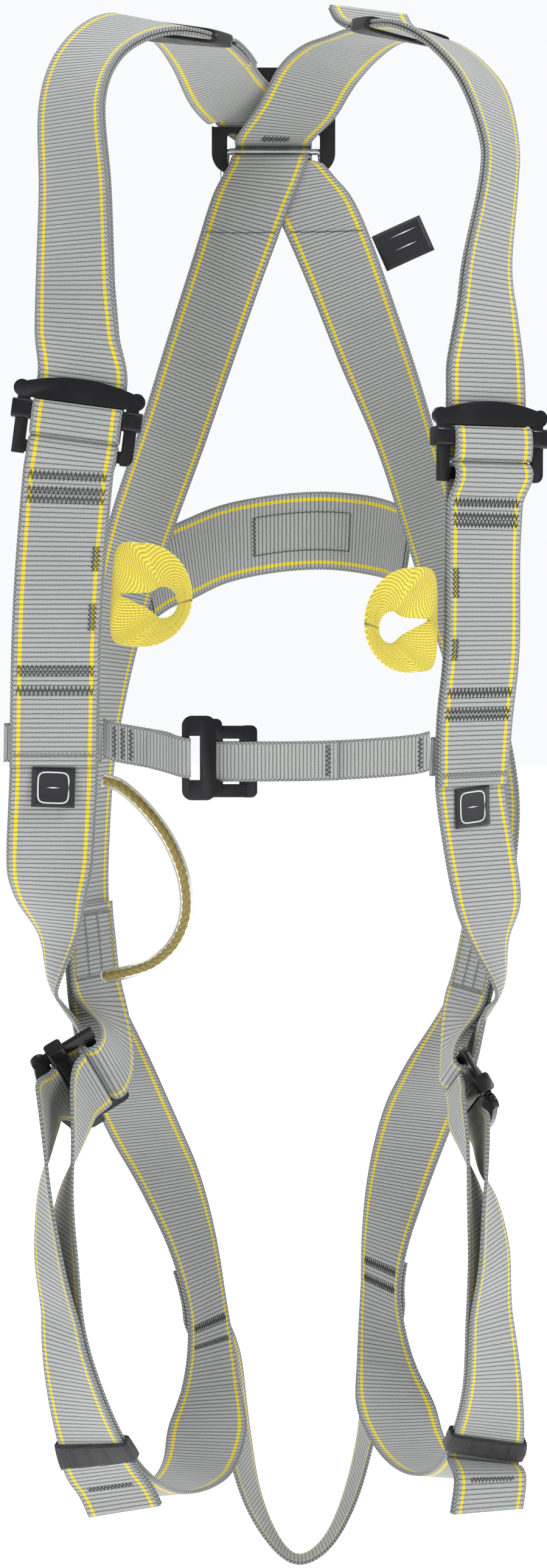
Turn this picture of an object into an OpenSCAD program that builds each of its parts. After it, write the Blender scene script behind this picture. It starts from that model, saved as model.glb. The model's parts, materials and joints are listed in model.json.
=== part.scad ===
// Full-body fall-arrest harness, shown as it hangs on a wearer.
// The origin is the inside of the dorsal D-ring's bow, where a connector bears.
// +X is the wearer's left, +Y points out of the wearer's back and +Z is up.

/* [Overall fit] */
// Distance between the centres of the two front straps at the chest
chest_span = 212; // [210:1:218]
// Depth from the front straps to the dorsal D-ring
torso_depth = 250; // [208:1:300]
// Height from the shoulder crest to the lowest leg webbing
trunk_height = 870; // [725:1:1044]

/* [Webbing] */
// Width of the load-bearing webbing
web_w = 45; // [37.5:0.5:54]
// Thickness of the load-bearing webbing
web_t = 1.8; // [1.5:0.1:2.2]
// Width of the chest webbing
chest_web_w = 20; // [16.5:0.5:24]
// Thickness of the chest webbing
chest_web_t = 1.6; // [1.3:0.1:2.0]
// Free gap between two layers of webbing
layer_gap = 0.5; // [0.4:0.1:0.8]
// Free gap between webbing and the bar or slot that it runs through
web_clear = 0.5; // [0.4:0.1:0.8]

/* [Adjuster buckles] */
// Sheet thickness of an adjuster frame
frame_t = 3.0; // [2.5:0.1:3.6]
// Length of an adjuster frame along the strap
frame_len = 40; // [33:0.5:48]
// Width of one side leg of an adjuster frame
leg_w = 6.3; // [5.3:0.1:7.5]
// Height of the arched end bar of an adjuster frame
end_bar_h = 12; // [10:0.5:14.4]
// Travel of the slide bar along the frame
slide_travel = 2.0; // [1.5:0.1:2.4]
// Thickness of the slide bar
slide_bar_t = 4.0; // [3.4:0.1:4.8]

/* [Dorsal ring] */
// Diameter of the D-ring's bar
ring_bar_d = 5.6; // [4.8:0.1:6.7]
// Straight length of the D-ring's sides
ring_side = 14; // [12:0.5:17]
// Thickness of the dorsal plate
plate_t = 3.0; // [2.5:0.1:3.6]

/* [Small parts] */
// Width of an elastic keeper along the strap
keeper_w = 16; // [13.5:0.5:19]
// Thickness of the keeper elastic
keeper_t = 1.6; // [1.3:0.1:2.0]
// Outer diameter of the gear-loop tube
tube_d = 7; // [6:0.5:8.4]

/* [Hidden] */

// Names say left and right as seen from the front, with the wearer facing the viewer.
webbing_colour = [0.62, 0.64, 0.64];
yellow_colour = [0.93, 0.84, 0.15];
black_colour = [0.08, 0.08, 0.09];
steel_colour = [0.72, 0.73, 0.75];

$fn = 48;

// Overall sizes at which the routes below were laid out
nominal_span = 212;
nominal_depth = 250;
nominal_height = 870;

// The D-ring's bar sits this far below the layout's zero height
bar_drop = 13;
ring_half = web_w / 2 + ring_bar_d / 2 + 3.4;
ring_reach = ring_side + ring_half - ring_bar_d / 2;
pitch = web_t + layer_gap;
reach = web_clear + web_t / 2;

// ---------- vectors ----------
function unit(v) = v / norm(v);
function pos(s) = [s[0], s[1], s[2]];
function dir(s) = [s[3], s[4], s[5]];
function station(p, w) = [p[0], p[1], p[2], w[0], w[1], w[2]];

// A point of the nominal layout, moved with the wearer's size and lifted to the ring's bow
function place(p) = [p[0] * chest_span / nominal_span,
                     p[1] * torso_depth / nominal_depth,
                     p[2] * trunk_height / nominal_height + ring_reach + bar_drop];
function placed(stations) = [for (s = stations) station(place(pos(s)), dir(s))];

// Right-handed axes from a length direction and a width direction
function axes(z, x) = let (ez = unit(z), ex = unit(x - (x * ez) * ez)) [ex, cross(ez, ex), ez];
// A point given in a buckle's own axes: across, through and along
function local(origin, a, p) = origin + p[0] * a[0] + p[1] * a[1] + p[2] * a[2];

module in_axes(origin, a) {
    multmatrix([[a[0][0], a[1][0], a[2][0], origin[0]],
                [a[0][1], a[1][1], a[2][1], origin[1]],
                [a[0][2], a[1][2], a[2][2], origin[2]],
                [0, 0, 0, 1]]) children();
}

// ---------- webbing ----------
// Catmull-Rom curve through the stations, each split into equal steps
function blend(a, b, c, d, t) = 0.5 * (2 * b + (c - a) * t + (2 * a - 5 * b + 4 * c - d) * t * t
                                       + (3 * b - a - 3 * c + d) * t * t * t);
function smooth(s, steps) = [
    for (i = [0 : len(s) - 2]) for (j = [0 : steps - 1])
        blend(s[max(i - 1, 0)], s[i], s[i + 1], s[min(i + 2, len(s) - 1)], j / steps),
    s[len(s) - 1]];

function heading(s, i) = unit(pos(s[min(i + 1, len(s) - 1)]) - pos(s[max(i - 1, 0)]));
function facing(s, i) = unit(cross(heading(s, i), dir(s[i])));
// The same run of webbing moved square to its face
function layer(s, d) = [for (i = [0 : len(s) - 1]) station(pos(s[i]) + facing(s, i) * d, dir(s[i]))];
function reversed(s) = [for (i = [len(s) - 1 : -1 : 0]) s[i]];
function part_of(s, from, to) = [for (i = [from : to]) s[i]];
function turned_over(s) = [for (i = [len(s) - 1 : -1 : 0]) station(pos(s[i]), -dir(s[i]))];
function shifted(s, v) = [for (i = s) station(pos(i) + v, dir(i))];
// A smooth line carried on through more stations
function carried_on(s, more, steps = 4) = let (n = len(s) - 1,
    next = smooth(concat([s[n - steps], s[n]], more), steps))
    concat(s, part_of(next, steps + 1, len(next) - 1));
// Place and axes of something that rides on the webbing at station i, a distance d off its face
function ride_at(s, i, d) = pos(s[i]) + facing(s, i) * d;
function ride_axes(s, i) = axes(heading(s, i), dir(s[i]));

// Webbing of width w and thickness t along the stations
module ribbon(s, w = web_w, t = web_t) {
    n = len(s);
    points = [for (i = [0 : n - 1])
        let (p = pos(s[i]), h = unit(dir(s[i])) * w / 2, f = facing(s, i) * t / 2)
        each [p - h - f, p + h - f, p + h + f, p - h + f]];
    // Both faces are split along the same diagonal, so that layers stay apart where they twist
    sides = [for (i = [0 : n - 2]) for (k = [0 : 3])
        let (a = 4 * i + k, b = 4 * i + (k + 1) % 4)
        each k == 2 ? [[a, a + 4, b + 4], [a, b + 4, b]] : [[a, a + 4, b], [b, a + 4, b + 4]]];
    last = 4 * (n - 1);
    polyhedron(points, concat([[0, 1, 2], [0, 2, 3]], sides,
                              [[last, last + 2, last + 1], [last, last + 3, last + 2]]));
}

// ---------- adjuster buckles ----------
// Axes of a buckle: x across the strap, y through it away from its face, z along it.
slot_w = web_w + 3;
frame_w = slot_w + 2 * leg_w;
bar_low = 1;
bar_high = 7;
bar_mid = (bar_low + bar_high) / 2;
end_bar_low = frame_len - end_bar_h;
slide_half = 3.2;
slide_mid = end_bar_low - slide_half - 2 * web_clear - web_t;
slide_low = slide_mid - slide_half - slide_travel;
ear_h = 9.6;
ear_t = 8.4;
leg_x = (slot_w + leg_w) / 2;
bend = reach + 0.1;

module frame_outline() {
    // Arched end bar with round ends
    intersection() {
        translate([0, frame_len - 90]) circle(r = 90, $fn = 180);
        translate([-frame_w / 2, end_bar_low]) square([frame_w, end_bar_h + 1]);
    }
    for (side = [-1, 1]) {
        translate([side * (frame_w / 2 - 1.6), end_bar_low + 4.2]) circle(r = 4.2);
        translate([side * (frame_w / 2 - 4), 4]) circle(r = 4);
        translate([side * leg_x - leg_w / 2, 0]) square([leg_w - 4 + 2 * (side < 0 ? 2 : 0), 5]);
        translate([side * leg_x - leg_w / 2, 4]) square([leg_w, end_bar_low]);
    }
    translate([-slot_w / 2 - 1, bar_low]) square([slot_w + 2, bar_high - bar_low]);
}

module adjuster_frame() {
    rotate([90, 0, 0]) linear_extrude(frame_t, center = true) frame_outline();
}

// A rectangle with round corners
module rounded(w, h, r) {
    square([w - 2 * r, h], center = true);
    square([w, h - 2 * r], center = true);
    for (x = [-1, 1]) for (y = [-1, 1]) translate([x * (w / 2 - r), y * (h / 2 - r)]) circle(r = r);
}

module slide_bar() {
    leg_clear = 0.35;
    difference() {
        translate([0, 0, slide_mid]) rotate([0, 90, 0]) {
            linear_extrude(slot_w + 2, center = true) rounded(2 * slide_half, slide_bar_t, 1);
            for (side = [-1, 1]) translate([0, 0, side * (leg_x + 0.5)])
                linear_extrude(leg_w + 3.4, center = true) rounded(ear_h, ear_t, 2);
        }
        // The frame's legs run through the two ears
        for (side = [-1, 1])
            translate([side * leg_x, 0, slide_mid])
                cube([leg_w + 2 * leg_clear, frame_t + 2 * leg_clear, 3 * ear_h], center = true);
    }
}

left_shoulder_at = place([-100.5, -250, -206]);
left_shoulder_axes = axes([0.13, 0, 0.99], [0.99, 0, -0.13]);
right_shoulder_at = place([108, -247, -217]);
right_shoulder_axes = axes([0.0, 0, 1], [0.89, 0.45, 0.05]);
left_leg_at = place([-86, -188, -519]);
left_leg_axes = axes([-0.85, -0.15, -0.5], [0.3, 0.64, -0.7]);
right_leg_at = place([95, -181, -520]);
right_leg_axes = axes([0.47, -0.32, -0.82], [0.1, -0.88, 0.44]);

// Stations round a centre [through, along] in a buckle's axes.
// Angle 0 points along the strap and 90 through the buckle, away from its face.
function turn(at, a, centre, r, from, to, w, steps = 3) = [
    for (i = [0 : steps]) let (g = from + (to - from) * i / steps)
        station(local(at, a, [0, centre[0] + r * sin(g), centre[1] + r * cos(g)]), w)];

// The free end's side: from behind the end bar to the front of the slide bar and under it
function tail_turn(at, a, w, from = 90) = concat(
    from > 90 ? [] : [station(local(at, a, [0, frame_t / 2 + bend, frame_len + 2]), w)],
    turn(at, a, [frame_t / 2, end_bar_low], bend, from, 180, w),
    turn(at, a, [-slide_bar_t / 2, end_bar_low - 2 * bend], bend, 0, -90, w),
    turn(at, a, [-slide_bar_t / 2, slide_low], bend, -90, -180, w));
// The loaded side: from under the slide bar to behind the free end
function main_turn(at, a, w) =
    turn(at, a, [frame_t / 2 + pitch + 0.6, slide_low], bend, 180, 90, w);
function main_exit(at, a, w) = concat(main_turn(at, a, w),
    [station(local(at, a, [0, frame_t / 2 + pitch + 0.6 + bend, end_bar_low]), w),
     station(local(at, a, [0, frame_t / 2 + pitch + bend, frame_len + 2]), w)]);
// The sewn strap's turn round the plain bar
fold_r = norm([frame_t / 2, (bar_high - bar_low) / 2]) + reach;
function bar_turn(at, a, from, to, w) = turn(at, a, [0, bar_mid], fold_r, from, to, w, 8);

// ---------- dorsal plate and ring ----------
plate_back = -6;
plate_face = plate_back - plate_t;
plate_w = 72;
plate_low = -14;
plate_high = 47;
window_h = 2 * (ring_bar_d / 2 + 2 * web_t + layer_gap + 2 * web_clear) + 3;
window_w = web_w + 9;
upper_slot = [-12, 17];
upper_slot_h = 8;

module dorsal_plate() color(black_colour) translate([0, plate_back, ring_reach]) rotate([90, 0, 0])
    linear_extrude(plate_t) difference() {
        translate([0, (plate_low + plate_high) / 2]) rounded(plate_w, plate_high - plate_low, 12);
        rounded(window_w, window_h, 2.5);
        translate(upper_slot) rounded(web_w + 4, upper_slot_h, 2);
    }

module dorsal_d_ring() color(steel_colour) {
    rod = ring_bar_d / 2;
    for (side = [-1, 1]) translate([side * ring_half, 0, ring_reach - ring_side]) {
        cylinder(r = rod, h = ring_side);
        translate([0, 0, ring_side]) sphere(r = rod);
    }
    translate([-ring_half, 0, ring_reach]) rotate([0, 90, 0]) cylinder(r = rod, h = 2 * ring_half);
    translate([0, 0, ring_reach - ring_side]) rotate([-90, 0, 0])
        rotate_extrude(angle = 180, $fn = 96) translate([ring_half, 0]) circle(r = rod);
}

inner_r = ring_bar_d / 2 + reach;
outer_r = inner_r + pitch;
// Webbing round the ring's bar; angle 0 is above the bar and 90 behind it
function round_ring(r, from, to, w = [1, 0, 0]) = [
    for (g = [from : 15 : to]) station([0, r * sin(g), ring_reach + r * cos(g)], w)];

// ---------- shoulder straps ----------
// Each station is a point on the middle of the webbing and the direction of its width.
left_shoulder_run = placed([
    [-98.5, -243.6, -142, 0.94, -0.32, -0.1],
    [-99.5, -241, -120, 0.89, -0.45, -0.05],
    [-100, -235, -100, 0.86, -0.5, 0],
    [-101, -222, -66, 0.82, -0.57, 0],
    [-104, -200, -23, 0.78, -0.63, 0],
    [-98, -178, 5, 0.8, -0.56, -0.06],
    [-83, -158, 24, 0.84, -0.48, -0.2],
    [-65, -140, 32, 0.9, -0.34, -0.24],
    [-46, -115, 30, 0.97, -0.2, -0.12]]);
left_shoulder_fall = placed([
    [-35, -80, 22, 0.98, -0.2, 0.02],
    [-27, -45, 14, 0.9, -0.2, 0.3],
    [-18, -18, 9, 0.9, -0.1, 0.35],
    [-13, -9.5, 5.5, 0.98, 0, 0.05],
    [-11, -6, 2.5, 1, 0, 0.03],
    [-5, -3, -3.5, 1, 0, 0]]);
left_shoulder_end = placed([
    [-41, -100, 31.5, 0.97, -0.16, -0.1],
    [-35, -86, 28.5, 0.96, -0.16, -0.1],
    [-31, -75, 25, 0.96, -0.16, -0.1]]);
right_shoulder_run = placed([
    [106.5, -242.4, -156, 0.86, 0.51, 0.02],
    [107.5, -241, -132, 0.69, 0.72, 0],
    [108, -238, -107, 0.56, 0.83, 0],
    [115, -220, -65, 0.45, 0.9, 0],
    [116, -206, -41, 0.48, 0.88, 0],
    [109, -185, -10, 0.62, 0.77, -0.1],
    [96, -165, 11, 0.74, 0.62, -0.2],
    [81, -148, 24, 0.84, 0.46, -0.2],
    [65, -124, 31, 0.93, 0.3, -0.1]]);
right_shoulder_fall = placed([
    [50, -100, 31, 0.96, 0.24, 0],
    [37, -80, 28, 0.96, 0.2, -0.1],
    [25, -52, 21, 0.94, 0.14, -0.2],
    [14, -30, 6, 0.98, 0.06, -0.16],
    [3, -16, -5, 1.05, 0, -0.06]]);
right_shoulder_end = placed([
    [60, -112, 35, 0.95, 0.26, -0.06],
    [55, -104, 40, 0.95, 0.26, -0.06],
    [52, -98, 47, 0.95, 0.26, -0.06]]);

left_shoulder_line = smooth(left_shoulder_run, 4);
right_shoulder_line = smooth(right_shoulder_run, 4);
left_shoulder_path = concat(
    main_exit(left_shoulder_at, left_shoulder_axes, left_shoulder_axes[0]),
    carried_on(layer(left_shoulder_line, pitch), left_shoulder_fall),
    round_ring(outer_r, 0, 90));
left_tail_path = concat(
    reversed(tail_turn(left_shoulder_at, left_shoulder_axes, left_shoulder_axes[0])),
    carried_on(left_shoulder_line, left_shoulder_end));
right_shoulder_path = concat(
    main_exit(right_shoulder_at, right_shoulder_axes, right_shoulder_axes[0]),
    carried_on(layer(right_shoulder_line, pitch), right_shoulder_fall),
    [station([0, plate_face, ring_reach + inner_r + 0.3], [1, 0, 0])],
    round_ring(inner_r, 0, 90));
right_tail_path = concat(
    reversed(tail_turn(right_shoulder_at, right_shoulder_axes, right_shoulder_axes[0])),
    carried_on(right_shoulder_line, right_shoulder_end));

module left_shoulder_strap() color(webbing_colour) ribbon(left_shoulder_path);
module left_shoulder_tail() color(webbing_colour) ribbon(left_tail_path);
module right_shoulder_strap() color(webbing_colour) ribbon(right_shoulder_path);
module right_shoulder_tail() color(webbing_colour) ribbon(right_tail_path);

// ---------- back straps ----------
left_rear_run = placed([
    [-4, -14, -24, 1.05, 0.05, 0],
    [-8, -16, -33, 1.05, 0.1, -0.1],
    [-14, -18.5, -47, 1, 0.2, -0.2],
    [-25, -22, -79, 0.87, 0.39, -0.31],
    [-42, -38, -132, 0.82, 0.5, -0.3],
    [-57, -58, -181, 0.77, 0.58, -0.27],
    [-74, -92, -235, 0.72, 0.66, -0.24],
    [-83, -115, -273, 0.64, 0.75, -0.15],
    [-91, -135, -313, 0.56, 0.82, -0.08],
    [-98, -150, -362, 0.5, 0.87, 0],
    [-101, -160, -410, 0.5, 0.86, 0],
    [-101, -164, -438, 0.5, 0.86, 0],
    [-99, -165, -460, 0.5, 0.86, 0],
    [-97.5, -163, -478, 0.52, 0.85, 0],
    [-95, -155, -496, 0.58, 0.81, 0],
    [-83, -120, -542, 0.86, 0.51, 0],
    [-72, -95, -575, 0.88, 0.47, 0],
    [-59, -78, -607, 0.76, 0.65, 0],
    [-46, -66, -647, 0.56, 0.83, 0],
    [-38, -66, -687, 0.48, 0.88, 0],
    [-36, -82, -726, 0.74, 0.66, -0.12],
    [-40, -118, -753, 0.95, -0.3, 0.05],
    [-50, -150, -759, 0.9, -0.38, 0.15],
    [-68, -180, -755, 0.88, -0.4, 0.22],
    [-84, -212, -736, 0.88, -0.38, 0.28],
    [-94, -232, -707, 0.78, -0.6, 0.2],
    [-102, -246, -671, 0.64, -0.76, 0.12],
    [-106, -251, -640, 0.5, -0.86, 0.05],
    [-107, -249, -607, 0.4, -0.91, 0],
    [-106, -239, -580, 0.22, -0.97, 0.1],
    [-102, -224, -557, 0, -0.95, 0.3],
    [-99.5, -207, -538, -0.2, -0.8, 0.5]]);
right_rear_run = placed([
    [7, -11.2, -24, 1.02, 0, 0.1],
    [14, -11.6, -33, 1.02, 0, 0.15],
    [25, -14, -49, 0.98, -0.1, 0.25],
    [38, -24, -80, 0.9, -0.3, 0.3],
    [56, -45, -131, 0.84, -0.5, 0.3],
    [73, -72, -181, 0.68, -0.7, 0.26],
    [86, -105, -230, 0.62, -0.76, 0.2],
    [98, -135, -280, 0.56, -0.82, 0.1],
    [110, -152, -329, 0.5, -0.87, 0],
    [118, -162, -377, 0.5, -0.87, 0],
    [116, -168, -416, 0.5, -0.87, 0],
    [114, -169, -446, 0.4, -0.91, 0],
    [110, -167, -468, 0.38, -0.92, 0],
    [106, -162, -486, 0.4, -0.91, 0],
    [101, -150, -504, 0.52, -0.85, 0],
    [90, -122, -538, 0.84, -0.54, 0],
    [82, -100, -563, 0.88, -0.47, 0],
    [72, -80, -602, 0.76, -0.65, 0],
    [64, -66, -644, 0.54, -0.84, 0],
    [62, -66, -676, 0.48, -0.88, 0],
    [65, -80, -713, 0.74, -0.66, 0.12],
    [74, -114, -742, 0.95, 0.3, -0.05],
    [88, -150, -751, 0.9, 0.38, -0.15],
    [103, -185, -742, 0.88, 0.4, -0.22],
    [111, -215, -715, 0.86, 0.44, -0.26],
    [112, -236, -680, 0.7, 0.68, -0.2],
    [109, -246, -640, 0.54, 0.84, -0.08],
    [107, -245, -608, 0.4, 0.91, 0],
    [103, -238, -580, 0.22, 0.97, -0.1],
    [99, -220, -558, 0, 0.95, -0.3],
    [96, -204, -544, -0.1, 0.86, -0.5]]);
// The rear webbing of each side is one length, cut into nodes at these stations
left_rear_line = smooth(left_rear_run, 4);
right_rear_line = smooth(right_rear_run, 4);
hip_cut = 14 * 4;
seat_cut = 20 * 4;
left_back_path = concat(
    round_ring(inner_r, 90, 165),
    [station([0, plate_back + 1, ring_reach - inner_r - 0.2], [1, 0, 0]),
     station([-2, plate_face - 3, ring_reach - inner_r - 0.8], [1, 0, 0])],
    part_of(left_rear_line, 0, hip_cut));
right_back_path = concat(
    round_ring(outer_r, 90, 165),
    [station([0, plate_back + 1, ring_reach - outer_r - 0.3], [1, 0, 0]),
     station([2, plate_face - 1.1, ring_reach - outer_r - 1], [1, 0, 0])],
    part_of(right_rear_line, 0, hip_cut));

module left_back_strap() color(webbing_colour) ribbon(left_back_path);
module right_back_strap() color(webbing_colour) ribbon(right_back_path);

// ---------- front and hip straps ----------
left_front_run = placed([
    [-102, -252.5, -212, 1, 0, -0.05],
    [-104, -251, -231, 1, 0, -0.03],
    [-107, -249, -265, 1, 0, 0],
    [-109, -247, -301, 1, 0, 0],
    [-111, -240, -359, 1, 0, 0]]);
left_hip_run = placed([
    [-114, -229, -404, 1, -0.05, 0],
    [-115, -222, -427, 0.86, -0.48, 0],
    [-112, -208, -450, 0.5, -0.85, 0.05],
    [-115, -198, -478, 0.15, -0.98, 0.1],
    [-108, -187, -494, -0.1, -0.88, 0.4]]);
left_hip_end = turned_over(layer(part_of(left_rear_line, 44, 52), pitch));
right_front_run = placed([
    [105.5, -251, -228, 0.87, 0.49, 0],
    [105, -249, -254, 0.85, 0.52, 0],
    [105, -246, -301, 0.86, 0.51, 0],
    [102, -243, -336, 0.86, 0.51, 0],
    [101, -238, -369, 0.82, 0.57, 0]]);
right_hip_run = placed([
    [105, -230, -402, 0.84, 0.54, 0],
    [110, -223, -430, 0.8, 0.6, 0],
    [112, -211, -452, 0.5, 0.85, -0.05],
    [118, -200, -479, 0.15, 0.98, -0.1],
    [110, -188, -496, -0.05, 0.9, -0.4]]);
right_hip_end = turned_over(layer(part_of(right_rear_line, 44, 52), pitch));

left_front_line = smooth(left_front_run, 4);
right_front_line = smooth(right_front_run, 4);
function front_path(at, a, line) = concat(bar_turn(at, a, 0, -90, a[0]), line);
function hip_path(at, a, line, hip, leg_at, leg_a, w, end) = concat(
    bar_turn(at, a, 0, 90, a[0]),
    carried_on(layer(line, -pitch), hip),
    bar_turn(leg_at, leg_a, -45, 135, w),
    end);
left_front_path = front_path(left_shoulder_at, left_shoulder_axes, left_front_line);
right_front_path = front_path(right_shoulder_at, right_shoulder_axes, right_front_line);
left_hip_path = hip_path(left_shoulder_at, left_shoulder_axes, left_front_line, left_hip_run,
                         left_leg_at, left_leg_axes, -left_leg_axes[0], left_hip_end);
right_hip_path = hip_path(right_shoulder_at, right_shoulder_axes, right_front_line, right_hip_run,
                          right_leg_at, right_leg_axes, -right_leg_axes[0], right_hip_end);

module left_front_strap() color(webbing_colour) ribbon(left_front_path);
module right_front_strap() color(webbing_colour) ribbon(right_front_path);
module left_hip_strap() color(webbing_colour) ribbon(left_hip_path);
module right_hip_strap() color(webbing_colour) ribbon(right_hip_path);

// ---------- seat and leg straps ----------
left_leg_tail_run = placed([
    [-117, -212, -537, -0.2, -0.78, 0.55],
    [-116, -232, -555, 0, -0.95, 0.3],
    [-116, -247, -578, 0.22, -0.97, 0.1],
    [-113, -255, -611, 0.41, -0.91, 0]]);
right_leg_tail_run = placed([
    [108, -214, -552, -0.1, 0.86, -0.5],
    [108, -232, -566, 0, 0.95, -0.3],
    [110, -246, -582, 0.22, 0.97, -0.1],
    [112, -251, -608, 0.4, 0.91, 0]]);
left_leg_end = placed([
    [-82, -221, -738, 0.86, -0.44, 0.26],
    [-77, -220, -749, 0.86, -0.42, 0.28]]);
right_leg_end = placed([
    [112, -227, -730, 0.85, 0.5, -0.14],
    [110, -230, -746, 0.86, 0.5, -0.1]]);
// Lower down the free end lies on the outside of the leg strap and then hangs from the keeper
function free_end(run, line, from, to, end) = let (
    n = len(run), doubled = reversed(layer(part_of(line, from, to), -pitch)))
    carried_on(concat(part_of(smooth(concat(run, [doubled[0], doubled[4]]), 4), 0, 4 * n),
                      part_of(doubled, 1, to - from)), end);
left_leg_tail_line = free_end(left_leg_tail_run, left_rear_line, 98, 108, left_leg_end);
right_leg_tail_line = free_end(right_leg_tail_run, right_rear_line, 95, 104, right_leg_end);

left_leg_path = concat(
    part_of(left_rear_line, seat_cut, len(left_rear_line) - 1),
    reversed(main_turn(left_leg_at, left_leg_axes, -left_leg_axes[0])));
right_leg_path = concat(
    part_of(right_rear_line, seat_cut, len(right_rear_line) - 1),
    reversed(main_turn(right_leg_at, right_leg_axes, -right_leg_axes[0])));
left_leg_tail_path = reversed(concat(
    reversed(tail_turn(left_leg_at, left_leg_axes, -left_leg_axes[0], 120)),
    left_leg_tail_line));
right_leg_tail_path = reversed(concat(
    reversed(tail_turn(right_leg_at, right_leg_axes, -right_leg_axes[0], 120)),
    right_leg_tail_line));

module left_seat_strap() color(webbing_colour) ribbon(part_of(left_rear_line, hip_cut, seat_cut));
module right_seat_strap() color(webbing_colour) ribbon(part_of(right_rear_line, hip_cut, seat_cut));
module left_leg_strap() color(webbing_colour) ribbon(left_leg_path);
module right_leg_strap() color(webbing_colour) ribbon(right_leg_path);
module left_leg_tail() color(webbing_colour) ribbon(left_leg_tail_path);
module right_leg_tail() color(webbing_colour) ribbon(right_leg_tail_path);

// ---------- cross straps ----------
waist_run = placed([
    [-72, -91, -266, -0.2, 0.3, 0.93],
    [-61, -78, -258, -0.18, 0.25, 0.95],
    [-50, -68, -253, -0.15, 0.1, 0.98],
    [-28, -50, -243, -0.05, 0, 1],
    [0, -38, -237, 0, 0, 1],
    [27, -36, -235, 0, 0, 1],
    [49, -46, -237, 0.05, 0, 1],
    [65, -62, -241, 0.1, 0.2, 0.98],
    [76, -82, -247, 0.15, 0.3, 0.94]]);
subpelvic_run = placed([
    [-28, -50, -722, 0.36, 0.92, 0.1],
    [-21, -48, -762, 0.26, 0.95, 0.08],
    [-12, -54, -799, 0.16, 0.96, -0.1],
    [2, -61, -824, 0.06, 0.97, -0.2],
    [16, -64, -832, 0, 0.97, -0.24],
    [32, -61, -822, -0.04, 0.97, -0.2],
    [45, -55, -797, -0.08, 0.97, -0.1],
    [54, -50, -762, -0.12, 0.97, 0.05],
    [58, -50, -720, -0.3, 0.93, 0.1]]);

module waist_strap() color(webbing_colour) ribbon(smooth(waist_run, 4));
module waist_patch() color(webbing_colour) ribbon(layer(part_of(smooth(waist_run, 4), 14, 23), -pitch), 25, web_t);
subpelvic_path = let (
    left = layer(part_of(left_rear_line, 73, 76), -pitch),
    right = turned_over(layer(part_of(right_rear_line, 73, 76), -pitch)))
    concat(carried_on(left, subpelvic_run, 3), right);
module subpelvic_strap() color(webbing_colour) ribbon(subpelvic_path);

// ---------- chest strap ----------
// A band round webbing, in axes across, through and along it
module band(at, a, inner_w, inner_t, w, t) {
    in_axes(at, a) linear_extrude(w, center = true) difference() {
        rounded(inner_w + 2 * t, inner_t + 2 * t, 1.6);
        rounded(inner_w, inner_t, 0.6);
    }
}
left_band = 15;
right_band = 14;
// Chest webbing sewn across the back of a front strap, at station i of its line
function chest_root(line, i, out, in_reach) = let (
    behind = ride_at(line, i, -2 * pitch), across = unit(dir(line[i])),
    up = unit(pos(line[i - 1]) - pos(line[i + 1])))
    [for (u = [out : (in_reach - out) / 4 : in_reach]) station(behind + u * across, up)];
chest_root_reach = web_w / 2 + 1.2;
module left_chest_loop() color(webbing_colour)
    ribbon(chest_root(left_front_line, left_band, -chest_root_reach - 2, chest_root_reach), chest_web_w, chest_web_t);
module right_chest_loop() color(webbing_colour)
    ribbon(chest_root(right_front_line, right_band, chest_root_reach + 1, -chest_root_reach), chest_web_w, chest_web_t);

left_strap_run = placed([
    [-85.6, -237.4, -345, 0, 0, 1],
    [-80, -241, -347, 0, 0, 1],
    [-67, -248.5, -349, 0, 0, 1],
    [-54, -255.4, -351, 0, 0, 1],
    [-48, -258, -353, 0, 0, 1],
    [-42.4, -258.3, -354, 0, 0, 1],
    [-40.7, -259.3, -354, 0, 0, 1],
    [-40.3, -261.4, -354, 0, 0, 1],
    [-40.7, -263.5, -354, 0, 0, 1],
    [-42.4, -264.5, -354, 0, 0, 1],
    [-47, -263.6, -353.2, 0, 0, 1],
    [-54, -258.6, -351.4, 0, 0, 1],
    [-62, -254.2, -349.6, 0, 0, 1]]);
right_strap_run = placed([
    [77.8, -252, -351, 0, 0, 1],
    [71, -254.4, -352.5, 0, 0, 1],
    [55, -255.6, -354, 0, 0, 1],
    [30, -255.2, -355.5, 0, 0, 1],
    [5, -254.4, -356, 0, 0, 1],
    [-16, -253.8, -356, 0, 0, 1],
    [-27, -253.8, -356, 0, 0, 1]]);
right_fold_run = placed([
    [-27, -258.5, -356, 0, 0, 1],
    [-16, -258.5, -356, 0, 0, 1],
    [-4, -257.9, -356, 0, 0, 1],
    [18, -257.3, -355.8, 0, 0, 1],
    [32, -257.7, -355.4, 0, 0, 1]]);
module left_chest_strap() color(webbing_colour) ribbon(smooth(left_strap_run, 4), chest_web_w, chest_web_t);
module right_chest_strap() color(webbing_colour) ribbon(concat(
    smooth(right_strap_run, 4),
    [station(place([-29.2, -254.6, -356]), [0, 0, 1]), station(place([-30, -256.3, -356]), [0, 0, 1]),
     station(place([-29.2, -258, -356]), [0, 0, 1])],
    smooth(right_fold_run, 4)), chest_web_w, chest_web_t);

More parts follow.
